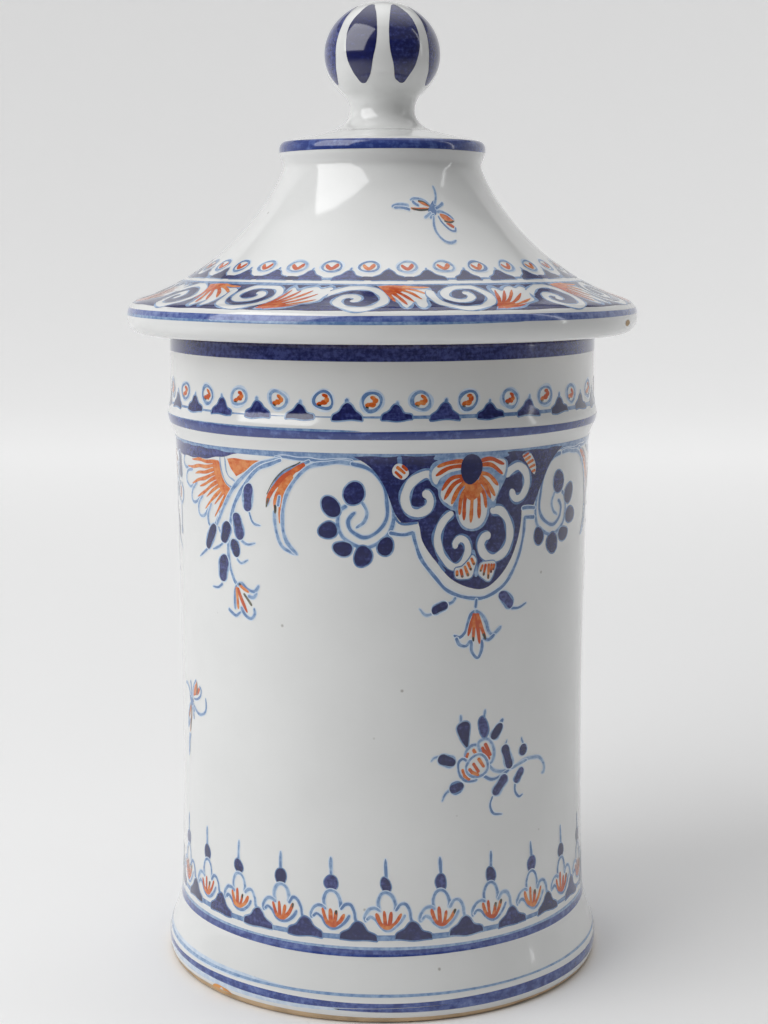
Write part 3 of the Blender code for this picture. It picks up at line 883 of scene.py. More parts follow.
def spear(seed):
    """One repeat of the lower border: a spear, a loop and a lily cup, with a dark mound beside it."""
    d = Drawing(seed)
    j = d.hand.uniform
    lean = j(-0.35, 0.35)
    d.line(PALE, 0.9, (lean, 112.3 + j(-0.5, 0.7)), (lean * 0.6, 115), (0.1, 118), lead=2.2)
    d.oval(DARK, j(-0.1, 0.2), 119.8, 1.7 + j(-0.3, 0.3), 2.3 + j(-0.3, 0.3), j(-22, 14), soak=0.3)
    d.line(PALE, 0.8, (-1.9, 127.2), (-2.1, 124.8), (-1.2, 122.6), (0.3, 122), (1.8, 123), (2.6, 125.4),
           (2.5, 127.4), tail=0.6)
    d.line(PALE, 0.85, (-5.6, 130.9), (-5.9, 129.2), (-4.6, 127.2), (-2.9, 126.8), (-1.5, 127.6), tail=0.6)
    d.line(PALE, 0.85, (2.6, 127.6), (3.9, 125.9 + j(-0.4, 0.4)), (5.5, 125.9), (6.7, 127.8), (7.1, 129.9),
           (8.0, 131.6), tail=0.8)
    d.line(PALE, 0.8, (-5.4, 130.4), (-4.3, 129.4), (-2.9, 130.2), (-1.6, 132), (0.2, 133.1), (2.2, 132.8),
           (4.2, 131), (5.4, 128.9), tail=0.8)
    tops = [(-2.7 + j(-0.3, 0.3), 127.9 + j(-0.6, 0.4)), (-0.5 + j(-0.2, 0.2), 126.9 + j(-0.6, 0.5)),
            (1.6 + j(-0.3, 0.3), 127.8 + j(-0.6, 0.6)), (4.1 + j(-0.4, 0.4), 128.3 + j(-1.2, 0.6))]
    feet = [(-0.9, 132), (-0.2, 132.2), (0.6, 132.2), (1.4, 132)]
    for top, foot in zip(tops, feet):
        knee = Vector(top).lerp(Vector(foot), 0.55) + Vector((0.35 * (top[0] - foot[0]) * 0.3, 0.3))
        d.line(ORANGE, 1.05 + j(-0.15, 0.15), top, knee, foot, lead=1.2, tail=0.5)
    d.line(ORANGE, 1.1, (-1.6, 130.9), (-0.5, 132), (1, 132.2), (2.2, 131.2))
    for top in tops[2:]:
        if j(0, 1) < 0.7:
            d.line(OLIVE, 0.75, top, (top[0] * 0.86 + 0.15, top[1] + 1.5), tail=1.0)
    mound(d, 7.85, 130.6 + j(-0.4, 0.5), 136.1, 5.2)
    return d


def mound(d, x, peak, base, half):
    """A dark peak with hollow sides and an uneven crest."""
    j = d.hand.uniform
    tall = base - peak
    d.blob(DARK, (x - half, base), (x - half, base), (x - half * 0.92, base - tall * 0.3),
           (x - half * 0.5, base - tall * 0.55), (x - half * 0.24, peak + tall * 0.12),
           (x + j(-0.3, 0.3), peak), (x + half * 0.26, peak + tall * 0.16),
           (x + half * 0.5, base - tall * 0.5 + j(-0.2, 0.3)), (x + half * 0.93, base - tall * 0.28),
           (x + half, base), (x + half, base), soak=SOAK)


def collar_ring(seed):
    """One repeat of the collar: a ringed bean of orange dabs and a dark peak beside it."""
    d = Drawing(seed)
    j = d.hand.uniform
    tilt = j(-14, 6)
    for tone, x, across, down in (WASH, 0, 3.5, 3.2), (PALE, 0, 3.05, 2.75), (BARE, 0.05, 2.2, 1.95):
        d.oval(tone, x, 16.1, across, down, tilt)
    dabs = [(-0.9, 17.0, 0.95, 0.6, -10), (0.2, 16.7, 0.95, 0.75, 10), (1.0, 15.9, 0.75, 0.8, 0),
            (0.5, 15.0, 0.85, 0.55, 20)]
    for x, y, across, down, turn in dabs:
        d.oval(ORANGE, x + j(-0.12, 0.12), y + j(-0.15, 0.15), across, down, turn)
    d.line(OLIVE, 0.45, (-1.6, 17.4), (-0.6, 17.7), tail=0.6)
    x = 6.72
    d.line(PALE, 0.95, (x + j(-0.5, 0.5), 15.5 + j(-0.3, 0.3)), (x, 17.8), lead=0.9)
    mound(d, x, 16.9 + j(-0.3, 0.3), 21.2, 4.2)
    return d


def lid_oval(seed):
    """One repeat of the lid's upper row: a ringed orange heart and a dark peak beside it."""
    d = Drawing(seed)
    j = d.hand.uniform
    tilt = j(-14, 2)
    for tone, across, down in (WASH, 3.9, 3.0), (PALE, 3.5, 2.65), (BARE, 2.65, 1.85):
        d.oval(tone, 0, 36.7, across, down, tilt)
    heart = [(-2.1, -0.5), (-1.5, 0.7), (-0.2, 1.55), (1.2, 0.9), (2.2, -0.6), (1.7, -1.5), (0.8, -0.8),
             (0.1, 0.2), (-0.9, -0.6), (-1.6, -1.1)]
    heart_y = 36.8
    d.blob(ORANGE, *[(x, y + heart_y) for x, y in heart])
    x = 6.18
    d.line(PALE, 0.9, (x + j(-0.3, 0.6), 37.2), (x, 39.5), lead=0.8)
    mound(d, x, 38.3 + j(-0.4, 0.4), 43.1, 4.7 + j(-0.3, 0.5))
    if j(0, 1) < 0.5:
        d.blob(DARK, (x - 9.5, 43.1), (x - 9.5, 43.1), (x - 8.5, 41.6), (x - 6.2, 41.2), (x - 3.6, 41.6),
               (x - 3, 43.1), (x - 3, 43.1))
    return d


SCROLL_PAIR = 56.55      # mm at the zone's radius taken by two scrolls and two fans


def lid_scroll_pair():
    """Two snail scrolls and two fans reserved from the dark ground of the lid's broad band."""
    d = Drawing(61)
    top, bottom = 45.9, 61.6
    left, right = -14.14, -14.14 + SCROLL_PAIR
    corners = [(left, top), (right, top), (right, bottom), (left, bottom)]
    steps = 24
    edge = [Vector(a).lerp(Vector(b), i / steps) for a, b in zip(corners, corners[1:] + corners[:1])
            for i in range(steps)]
    d.put(DARK, edge)
    rising_fan(d, -SCROLL_PAIR)
    for shift in (0.0, SCROLL_PAIR):
        d.scroll(2.1, *[(x + shift, y) for x, y in
                        [(-15.6, 53.2), (-13.6, 50.4), (-10, 47.9), (-6, 47), (-2.2, 48.2), (0.2, 51.6),
                         (0.2, 55.6), (-2.3, 59.4), (-6, 60.7), (-9.2, 59.2), (-10.9, 55.8), (-10, 52.8),
                         (-7.8, 51.9), (-6.2, 53.2), (-6.6, 55), (-7.9, 55.1)]])
        falling_fan(d, shift)
    d.scroll(2.1, (12.9, 48.6), (13.1, 52.5), (14.3, 57), (17, 59.7), (20.5, 60.4), (24.8, 58.8),
             (28, 54.8), (28.6, 50.8), (26.4, 47.6), (22.4, 46.8), (18.6, 47.8), (16.4, 50.6), (16.6, 53.4),
             (18.8, 55.4), (21.6, 55), (23.5, 52.7), (22.9, 50.6), (21.3, 50.6))
    rising_fan(d, 0.0)
    return d, left, right


def ray_fan(d, shift, outline, lobes, heart, rays, width):
    """White lobes with a pale outline, orange at the heart, and rays from there."""
    def moved(points):
        return [(x + shift, y) for x, y in points]

    d.blob(PALE, *moved(outline))
    d.blob(BARE, *moved(lobes))
    d.blob(ORANGE, *moved(heart))
    for ray in rays:
        d.line(ORANGE, width, *moved(ray), lead=0.1, tail=5)


def falling_fan(d, shift):
    """Orange rays from an upper left corner, with three white lobes between dark notches."""
    ray_fan(d, shift,
            [(-1.8, 45.7), (-1.8, 45.7), (6, 45.4), (8.2, 47.2), (13.4, 47.3), (13.2, 50.8), (11.9, 54.4),
             (11.6, 58.4), (10.2, 60.9), (8.6, 60.4), (7.9, 57.4), (7.2, 60.2), (5.8, 61), (4.3, 60),
             (3.6, 56.8), (2.4, 54.2), (1.4, 50)],
            [(0, 47), (6, 46.4), (8.4, 48), (12.6, 48.2), (12.4, 50.8), (11.2, 54.4), (10.9, 58), (10, 60),
             (8.9, 59.4), (8.2, 55.6), (6.7, 58.6), (5.8, 60.2), (4.9, 59), (4, 55.6), (2.6, 52)],
            [(-1.2, 46.2), (-1.2, 46.2), (3, 45.7), (7.6, 46.1), (7.6, 46.9), (5.6, 48.6), (3.4, 50.4),
             (1.6, 50.8), (0.2, 48.6)],
            ([(0.2, 47), (1.8, 51), (3, 55.6)], [(1, 47), (3.8, 52), (6, 58)],
             [(2, 47), (5.2, 51), (8, 56)], [(3, 46.8), (7.4, 50), (10.2, 54.2)],
             [(4.5, 46.6), (9, 48.6), (12, 51)],
             [(5.6, 46.2), (9.6, 47), (13.4, 47.2)]), 1.15)


def rising_fan(d, shift):
    """Orange rays from a lower left corner, opening upwards into white lobes."""
    ray_fan(d, shift,
            [(26.3, 61.4), (26.3, 61.4), (28.6, 56.6), (29.8, 51.5), (30.2, 47.2), (32, 45.9), (33.6, 47.6),
             (35.4, 46.4), (38.4, 46), (39.6, 47), (42, 46), (43.6, 46.9), (43.9, 49.6), (42.2, 53),
             (41.4, 56.2), (37.4, 58.2), (34.4, 60.6), (30, 61.4)],
            [(28.4, 59.2), (30.4, 54), (30.9, 49.6), (31.4, 47.6), (32.4, 47.6), (33.8, 49.2), (35.8, 47.4),
             (38.2, 46.8), (39.6, 48), (41.8, 47), (43, 47.9), (42.9, 49.6), (41.4, 52.6), (40.4, 55.6),
             (36.4, 57.6), (33, 59.8)],
            [(26.8, 60.9), (26.8, 60.9), (28.4, 58), (30.2, 56.4), (32.4, 57), (33.6, 58.6), (31, 60),
             (28.8, 60.7)],
            ([(27.6, 60), (29.8, 55), (31.9, 48.6)], [(27.8, 60.1), (31.4, 54.6), (34.6, 49)],
             [(28, 60.2), (33.2, 54.4), (37.6, 48.8)], [(28.2, 60.3), (34, 56), (39.4, 50.9)],
             [(28.4, 60.4), (35, 57.4), (40, 54.4)], [(28.6, 60.6), (33, 59.6), (36.4, 58)]), 1.0)


def sprig():
    """A scattered flower: three striped rounds in a ring of dark buds, on a trailing stem."""
    d = Drawing(71)
    d.line(PALE, 0.85, (5.6, 87.2), (7.5, 89), (10.5, 89.9), (13.4, 89.4), (16, 88.8), (19, 88),
           (23.5, 87.8), (26.2, 88.7), (28, 91), (28, 93), (27, 93.6), tail=1.2)
    d.line(PALE, 0.8, (3.6, 90), (6.5, 91.4), (9.6, 91.2), (13, 89.7), tail=1.5)
    d.line(PALE, 0.9, (13.4, 89.4), (16.5, 88.7), (20, 88.2), lead=1.5, tail=2)
    rounds = [([(-1.4, 82.3), (0.4, 80.8), (2.4, 80.9), (3.4, 82.5), (2.4, 84.4), (0.2, 85.6),
                (-1.5, 84.6)],
               [((-0.6, 82.6), (-1.3, 84.2)), ((0.9, 81.8), (2, 83.6))]),
              ([(2.7, 80.6), (4.2, 79.4), (6, 79.8), (7.3, 82.2), (7.3, 85), (6.2, 86.6), (4.6, 85.6),
                (3.4, 83.2)],
               [((4.7, 80.6), (6.4, 84.6)), ((4.4, 82.6), (6, 85.6)), ((3.8, 81.6), (4.9, 84.4))]),
              ([(-3.9, 85.6), (-2.4, 84.3), (-0.6, 85.6), (0, 88), (1.6, 90.2), (1.4, 91.4), (-1.2, 91),
                (-3.4, 88.8)],
               [((-2.6, 87.2), (-1.8, 89.2)), ((-2.2, 89), (0, 90.8))]),
              ([(-1.2, 86.6), (0.6, 84.4), (3.2, 83.8), (5, 85.6), (5.2, 88.2), (3.4, 90), (1, 90.2),
                (-0.8, 88.8)],
               [((-0.4, 87.4), (1, 89.4)), ((0.9, 86), (2.6, 89.2)), ((2.5, 84.8), (4.2, 87.8)),
                ((0.2, 88.6), (2.6, 90))])]
    for edge, stripes in rounds:
        d.outlined(PALE, 0.75, *edge)
        for start, end in stripes:
            d.line(ORANGE, 1.0, start, end)
    d.line(PALE, 0.7, (-3.5, 74.5), (-3.6, 71.6), tail=1)
    d.blob(DARK, (-4.7, 75.4), (-3.4, 73.9), (-1.7, 73.7), (-0.5, 74.9), (-0.6, 78), (-0.9, 80.9),
           (-1.9, 80.6), (-3.6, 78.4), soak=SOAK)
    d.line(PALE, 0.8, (4.4, 73.5), (4.8, 70.8), tail=1)
    d.blob(DARK, (2.6, 74.3), (3.8, 72.8), (5.3, 74.2), (5.9, 77), (4.9, 78.9), (3.6, 78), soak=SOAK)
    d.line(PALE, 1.0, (9.6, 75.8), (10.7, 74.3), tail=0.8)
    d.leaf((10.2, 75.6), (7, 79.8), 2.3)
    d.leaf((-4.9, 85.6), (-10, 83.4), 2.9, (-9.6, 83.2), (-11.2, 83.4), (-12.2, 84.5))
    d.leaf((-2.1, 91.8), (-6.6, 93.4), 2.7, (-6.2, 93), (-8, 94.4), (-9, 96.4))
    d.leaf((13.3, 89.3), (11, 82.2), 2.7, (11.3, 82.6), (12, 81.2), (12.1, 80.8))
    d.leaf((18.1, 86.6), (18.3, 83), 2.7, (18.2, 83), (17.7, 81.6), (17.6, 80.9))
    d.leaf((12, 91.1), (7.4, 96.4), 2.8, (7, 96.6), (6.2, 99.2), (7.6, 102), (10.6, 102.4))
    d.leaf((18.2, 90.3), (15.2, 94.1), 2.3, (15.1, 94), (15.2, 96.6), (16.8, 98.5), (18.6, 98))
    return d


def dragonfly():
    """A darting insect in three or four strokes, wings dabbed orange, drawn about its own middle."""
    d = Drawing(83)
    d.line(PALE, 1.15, (-21.5, 0.1), (-18, -0.5), (-13.4, -0.4), lead=1.5)
    d.line(PALE, 0.9, (-20.5, 0.5), (-16, 0.5), (-13, 1), lead=1.0)
    d.blob(ORANGE, (-12.5, 0.2), (-8, 0.5), (-3, 0.6), (-2.5, 1), (-6.5, 1.6), (-11.5, 1.1))
    d.blob(ORANGE, (-8.2, -1.9), (-5, -1.6), (-2.2, 0), (-3, 0.3), (-6, -0.5))
    d.line(PALE, 0.8, (-12.4, -2.3), (-10.4, -2.8), (-7, -2.6), (-4, -1.6), (-2, 0), lead=1)
    d.line(PALE, 1.0, (-11.4, -2), (-9.9, -1.1), (-8, -0.2), lead=0.8)
    d.line(OLIVE, 0.7, (-12, 0.6), (-8, 1.3), (-4, 1.2), (-2, 0.8), lead=1.5)
    d.line(OLIVE, 0.5, (-8, -2), (-5, -1.4), (-2.2, 0.2))
    d.blob(ORANGE, (1.6, 2.8), (4, 2.9), (7.2, 4.4), (7.6, 5.2), (5, 5.5), (2.6, 5))
    d.blob(ORANGE, (3, 6.2), (5.2, 6.4), (6.6, 7.6), (5.6, 8), (3.9, 7.2))
    d.line(PALE, 0.8, (0.6, 2), (2.6, 1.9), (5.4, 2.9), (7.7, 4.7), tail=1)
    d.line(PALE, 0.8, (0.5, 3.4), (1.4, 6), (3.4, 8.6), (5.6, 9), (6.8, 7.6), tail=1)
    d.line(OLIVE, 0.6, (2.6, 5.4), (5, 5.9), (7.4, 5.3), tail=1)
    d.blob(PALE, (-4, 1.8), (-1.4, -0.9), (0.6, -2), (1.6, -1.2), (0.9, 1), (-0.4, 3), (-2.4, 3))
    d.line(PALE, 0.9, (-2.6, 2.2), (-5, 3.4), (-6.8, 4.2), tail=1)
    d.line(PALE, 0.9, (-1.2, 2.9), (-2.6, 3.4), (-4, 4.3), tail=1)
    d.line(PALE, 1.0, (0.6, -0.8), (2.4, -3), (3, -5.4), (2.4, -6.8), tail=0.8)
    d.line(PALE, 1.0, (0.4, 0.8), (3, 0), (5.6, -1.1), tail=0.8)
    d.line(PALE, 0.95, (-1.8, 3.4), (-3, 6.6), (-2.9, 9.6), (-1.4, 12.6), (0.4, 13.7), (2.4, 13.4),
           (4, 12.6), tail=2)
    return d


def knob_petal(seed):
    """One dark petal of the knob, in degrees round the ball and degrees down it from the top."""
    d = Drawing(seed)
    j = d.hand.uniform
    edge = [(-6, 32), (5, 29), (13, 44), (16.5, 62), (17, 82), (14.5, 99), (9, 114), (3.5, 123), (-3, 124),
            (-8.5, 117), (-13, 103), (-16, 84), (-15.5, 64), (-11.5, 46)]
    across = math.radians(1) * KNOB_RADIUS
    down = math.radians(1) * (KNOB_RADIUS + KNOB_HALF_HEIGHT) / 2
    d.blob(DARK, *[((a + j(-0.8, 0.8)) * across, (b + j(-1.2, 1.2)) * down) for a, b in edge])
    return d


# ---------------------------------------------------------------- materials


def add(tree, kind, settings, links=()):
    """Adds one node. Settings name its sockets or its properties, links are (socket, output)."""
    made = tree.nodes.new(kind)
    for key, value in settings.items():
        if isinstance(key, int) or key in made.inputs:
            made.inputs[key].default_value = value
        else:
            setattr(made, key, value)
    for socket, output in links:
        tree.links.new(output, made.inputs[socket])
    return made


def new_material(name):
    """An empty node tree with its output, and the shader that feeds it."""
    material = bpy.data.materials.new(name)
    material.use_nodes = True
    tree = material.node_tree
    tree.nodes.clear()
    shader = add(tree, 'ShaderNodeBsdfPrincipled', {})
    add(tree, 'ShaderNodeOutputMaterial', {}, [("Surface", shader.outputs["BSDF"])])
    return material, tree, shader


def ramp(tree, factor, stops):
    """A colour ramp with (position, colour) stops."""
    made = add(tree, 'ShaderNodeValToRGB', {}, [("Fac", factor)])
    elements = made.color_ramp.elements
    while len(elements) < len(stops):
        elements.new(0.5)
    for element, (position, colour) in zip(elements, stops):
        element.position = position
        element.color = (*colour, 1.0)
    return made.outputs["Color"]


def shade(colour, factor):
    """The same colour, darker or lighter."""
    return [min(1.0, c * factor) for c in colour]


def coats(colour, count):
    """The colour that more or fewer coats of a see-through pigment give over white."""
    return [c ** count for c in colour]


def glaze_surface(tree, shader, roughness, waviness):
    """Fired glaze: a slow orange-peel wave, faint throwing rings and pinholes, under a wet gloss."""
    where = add(tree, 'ShaderNodeTexCoord', {}).outputs["Object"]
    wave = add(tree, 'ShaderNodeTexNoise', {"Scale": 1 / (11 * MM), "Detail": 2.0}, [("Vector", where)])
    rings = add(tree, 'ShaderNodeTexWave',
                {"bands_direction": 'Z', "Scale": 1 / (38 * MM), "Distortion": 1.5, "Detail": 2.0},
                [("Vector", where)])
    pits = add(tree, 'ShaderNodeTexVoronoi', {"Scale": 1 / (5 * MM)}, [("Vector", where)])
    pinholes = add(tree, 'ShaderNodeMapRange', {"From Max": 0.05}, [("Value", pits.outputs["Distance"])])
    height = add(tree, 'ShaderNodeMath', {"operation": 'MULTIPLY_ADD', 1: 0.25},
                 [(0, rings.outputs["Fac"]), (2, wave.outputs["Fac"])])
    height = add(tree, 'ShaderNodeMath', {"operation": 'MULTIPLY_ADD', 1: 0.12},
                 [(0, pinholes.outputs["Result"]), (2, height.outputs["Value"])])
    bump = add(tree, 'ShaderNodeBump', {"Strength": 1.0, "Distance": waviness},
               [("Height", height.outputs["Value"])])
    tree.links.new(bump.outputs["Normal"], shader.inputs["Normal"])
    shader.inputs["Roughness"].default_value = roughness
    shader.inputs["IOR"].default_value = 1.6
    shader.inputs["Coat Weight"].default_value = 0.4
    shader.inputs["Coat Roughness"].default_value = 0.03
    return where


def tin_glaze(name, white):
    """Tin-opacified lead glaze over buff clay: cool white, with clouds, freckles and a wet gloss."""
    material, tree, shader = new_material(name)
    where = glaze_surface(tree, shader, 0.11, 0.08 * MM)
    clouds = add(tree, 'ShaderNodeTexNoise', {"Scale": 1 / (32 * MM), "Detail": 4.0}, [("Vector", where)])
    base = ramp(tree, clouds.outputs["Fac"], [(0.3, shade(white, 0.95)), (0.7, white)])
    specks = add(tree, 'ShaderNodeTexVoronoi', {"Scale": 1 / (13 * MM)}, [("Vector", where)])
    freckle = ramp(tree, specks.outputs["Distance"],
                   [(0.018, linear("#8E877C")), (0.045, (1.0, 1.0, 1.0))])
    speckled = add(tree, 'ShaderNodeMix', {"data_type": 'RGBA', "blend_type": 'MULTIPLY', 0: 0.55},
                   [(6, base), (7, freckle)])
    tree.links.new(speckled.outputs[2], shader.inputs["Base Color"])
    return material


def pigment(name, colour, grain, thin=0.65, deep=1.35):
    """Metal oxide brushed into the raw glaze: pools deep, drags thin, and mottles as it melts."""
    material, tree, shader = new_material(name)
    where = glaze_surface(tree, shader, 0.12, 0.08 * MM)
    brush = add(tree, 'ShaderNodeUVMap', {"uv_map": "brush"})
    along = add(tree, 'ShaderNodeMapping', {"Scale": (0.16, 1.0, 1.0)}, [("Vector", brush.outputs["UV"])])
    streaks = add(tree, 'ShaderNodeTexNoise', {"Scale": 1 / (1.1 * MM), "Detail": 2.0},
                  [("Vector", along.outputs["Vector"])])
    mottle = add(tree, 'ShaderNodeTexNoise', {"Scale": 1 / (grain * MM), "Detail": 4.0, "Roughness": 0.65},
                 [("Vector", where)])
    load = add(tree, 'ShaderNodeAttribute', {"attribute_name": "load"})
    mixed = add(tree, 'ShaderNodeMath', {"operation": 'MULTIPLY_ADD', 1: 0.45},
                [(0, streaks.outputs["Fac"]), (2, mottle.outputs["Fac"])])
    weighed = add(tree, 'ShaderNodeMath', {"operation": 'MULTIPLY_ADD', 1: 0.35},
                  [(0, load.outputs["Fac"]), (2, mixed.outputs["Value"])])
    tint = ramp(tree, weighed.outputs["Value"],
                [(0.62, coats(colour, thin)), (0.86, colour), (1.1, coats(colour, deep))])
    tree.links.new(tint, shader.inputs["Base Color"])
    return material


def biscuit_clay(name, clay):
    """Unglazed calcareous earthenware: buff, dry and finely gritty, in lighter and darker patches."""
    material, tree, shader = new_material(name)
    where = add(tree, 'ShaderNodeTexCoord', {}).outputs["Object"]
    patches = add(tree, 'ShaderNodeTexNoise', {"Scale": 1 / (9 * MM), "Detail": 5.0}, [("Vector", where)])
    grit = add(tree, 'ShaderNodeTexNoise', {"Scale": 1 / (0.6 * MM), "Detail": 3.0}, [("Vector", where)])
    colour = ramp(tree, patches.outputs["Fac"],
                  [(0.3, shade(clay, 0.72)), (0.5, clay), (0.75, shade(clay, 1.12))])
    bump = add(tree, 'ShaderNodeBump', {"Strength": 0.6, "Distance": 0.15 * MM},
               [("Height", grit.outputs["Fac"])])
    tree.links.new(colour, shader.inputs["Base Color"])
    tree.links.new(bump.outputs["Normal"], shader.inputs["Normal"])
    shader.inputs["Roughness"].default_value = 0.85
    return material


def stage_paper(name, tone):
    """Seamless matt paper that glows behind the jar, a painted backlight, so that the jar's edges stand
    against pale light. Towards the front it darkens, a painted shade.
    """
    material, tree, shader = new_material(name)
    where = add(tree, 'ShaderNodeTexCoord', {}).outputs["Object"]
    clouds = add(tree, 'ShaderNodeTexNoise', {"Scale": 3.0, "Detail": 3.0}, [("Vector", where)])
    clouds_and_painted_shade = add(tree, 'ShaderNodeMath', {"operation": 'MULTIPLY_ADD', 1: 0.04},
                 [(0, clouds.outputs["Fac"])])
    # Painted shade: the paper darkens towards the front of the stage, down to 0.3 of its tone, over faint
    # clouds of its own tone.
    place = add(tree, 'ShaderNodeSeparateXYZ', {}, [("Vector", where)])
    painted_front_shade = add(tree, 'ShaderNodeMapRange', {"From Min": -0.9, "From Max": -0.15},
               [("Value", place.outputs["Y"])])
    tree.links.new(painted_front_shade.outputs["Result"], clouds_and_painted_shade.inputs[2])
    colour = ramp(tree, clouds_and_painted_shade.outputs["Value"], [(0.0, shade(tone, 0.3)), (1.0, tone)])
    # Painted backlight: behind the jar the paper glows, though no lamp lights it.
    glow = add(tree, 'ShaderNodeMapRange', {"From Min": 0.1, "From Max": 1.3, "To Max": 0.315},
               [("Value", place.outputs["Y"])])
    tree.links.new(colour, shader.inputs["Base Color"])
    tree.links.new(glow.outputs["Result"], shader.inputs["Emission Strength"])
    shader.inputs["Emission Color"].default_value = (1.0, 1.0, 1.0, 1.0)
    shader.inputs["Roughness"].default_value = 0.9
    shader.inputs["Specular IOR Level"].default_value = 0.1
    return material


# ---------------------------------------------------------------- settings


class JarColours(bpy.types.PropertyGroup):
    """Colours of the glaze, the pigments and the clay."""

    def tone(name, description, code):
        return bpy.props.FloatVectorProperty(name=name, description=description, subtype='COLOR',
                                             size=3, min=0.0, max=1.0, default=linear(code))

    glaze: tone("Tin glaze", "Ground colour of the jar and lid", "#E4E5E4")
    dark: tone("Dark cobalt", "Grounds, leaves and dots", "#192160")
    mid: tone("Cobalt wash", "Bands", "#45599A")
    pale: tone("Pale cobalt", "Outlines", "#7896BE")
    orange: tone("Iron orange", "Petals, fans and ring centres", "#CF6726")
    olive: tone("Olive", "Orange laid over blue", "#4C4838")
    clay: tone("Clay", "Bare earthenware", "#C9AE8C")
    stage: tone("Stage", "Floor and backdrop", "#EEEEEE")


class JarSizes(bpy.types.PropertyGroup):
    """Sizes of the finish that a user would change."""

    facets: bpy.props.IntProperty(
        name="Facets", description="Facets round each turned member, a multiple of four", default=256)
    lift: bpy.props.FloatProperty(
        name="Paint lift", description="How far the paint lies above the glaze", unit='LENGTH',
        default=0.05 * MM)
    eye_distance: bpy.props.FloatProperty(
        name="Eye distance", description="From the jar's axis to the camera", unit='LENGTH', default=0.5618)
    eye_height: bpy.props.FloatProperty(
        name="Eye height", description="Camera above the table", unit='LENGTH', default=0.2213)
    eye_pitch: bpy.props.FloatProperty(
        name="Eye pitch", description="Downward tilt of the camera", unit='ROTATION',
        default=math.radians(8.53))
    lens: bpy.props.FloatProperty(
        name="Lens", description="Focal length of the camera", unit='CAMERA', default=64.7)


# ---------------------------------------------------------------- operators


def pigments(context):
    """The painter's materials by tone, made once."""
    colours = context.scene.jar_colours
    made = {material.name: material for material in bpy.data.materials}
    recipes = {
        DARK: lambda: pigment(DARK, colours.dark, 1.1, thin=0.62, deep=1.2),
        MID: lambda: pigment(MID, colours.mid, 2.2),
        PALE: lambda: pigment(PALE, colours.pale, 1.6),
        WASH: lambda: pigment(WASH, coats(colours.pale, 0.3), 2.6),
        ORANGE: lambda: pigment(ORANGE, colours.orange, 1.8),
        OLIVE: lambda: pigment(OLIVE, colours.olive, 1.2),
        CLAY: lambda: biscuit_clay(CLAY, colours.clay),
        CHIP: lambda: biscuit_clay(CHIP, linear("#DE9E5C")),
    }
    return {tone: made[tone] if tone in made else recipe() for tone, recipe in recipes.items()}


class JAR_OT_turn_jar(bpy.types.Operator):
    """Turn the jar as one glazed piece"""
    bl_idname = "jar.turn_jar"
    bl_label = "Turn Jar"

    def execute(self, context):
        colours = context.scene.jar_colours
        turned("jar_glaze", JAR, context.scene.jar_sizes.facets,
               tin_glaze("tin_glaze_jar", colours.glaze), "jar", "jar_body")
        return {'FINISHED'}


class JAR_OT_turn_lid(bpy.types.Operator):
    """Turn the lid's cover, its flange and its knob"""
    bl_idname = "jar.turn_lid"
    bl_label = "Turn Lid"

    def execute(self, context):
        colours = context.scene.jar_colours
        facets = context.scene.jar_sizes.facets
        glaze = tin_glaze("tin_glaze_lid", colours.glaze)
        turned("lid_glaze", COVER, facets, glaze, "lid", "lid_cover")
        turned("lid_flange_clay", FLANGE, facets, biscuit_clay("biscuit_clay_flange", colours.clay),
               "lid", "lid_flange")
        turned("knob_glaze", KNOB, facets // 2, tin_glaze("tin_glaze_knob", colours.glaze),
               "lid", "lid_knob")
        return {'FINISHED'}


class JAR_OT_paint_collar(bpy.types.Operator):
    """Paint the collar: rim band, ringed beans, peaks and the band on the bead"""
    bl_idname = "jar.paint_collar"
    bl_label = "Paint Collar"

    def execute(self, context):
        zone = Zone(JAR, JAR.starts["collar"] - RIM_ROUND, COLLAR_RADIUS)
        work = Painting("collar", zone, "jar", "jar_glaze", context.scene.jar_sizes.lift, 5)
        work.band(DARK, -0.5, 5.3, waver=0.25, seed=2, load=0.1)
        work.band(PALE, 20.2, 21.0, waver=0.3, seed=3)
        work.band(MID, 24.3, 26.8, waver=0.18, seed=4, load=0.8)
        work.band(PALE, 23.9, 24.6, waver=0.15, seed=5, begin=-110, end=-5, level=0.5)
        for k in range(RING_REPEATS):
            work.lay(collar_ring(100 + k), zone.degrees(360 / RING_REPEATS * k - 2.5))
        work.finish(pigments(context))
        return {'FINISHED'}


class JAR_OT_paint_belly(bpy.types.Operator):
    """Paint the belly: hanging lambrequins, festoons and fans, scattered sprigs and insects"""
    bl_idname = "jar.paint_belly"
    bl_label = "Paint Belly"

    def execute(self, context):
        zone = Zone(JAR, JAR.starts["belly"], BELLY_READING)
        work = Painting("belly", zone, "jar", "jar_glaze", context.scene.jar_sizes.lift, 7)
        work.band(PALE, -3.0, -1.2, waver=0.2, seed=6)
        pendant = whole_lambrequin()
        spread = 360 / LAMBREQUINS
        for k in range(LAMBREQUINS):
            angle = LAMBREQUIN_ANGLE + spread * k
            work.lay(pendant, zone.degrees(angle))
            work.lay(sprig(), zone.degrees(angle))
            work.lay(dragonfly().moved(dy=75, turn=-82, size=0.88), zone.degrees(angle - spread / 2 - 2))
        work.finish(pigments(context))
        return {'FINISHED'}


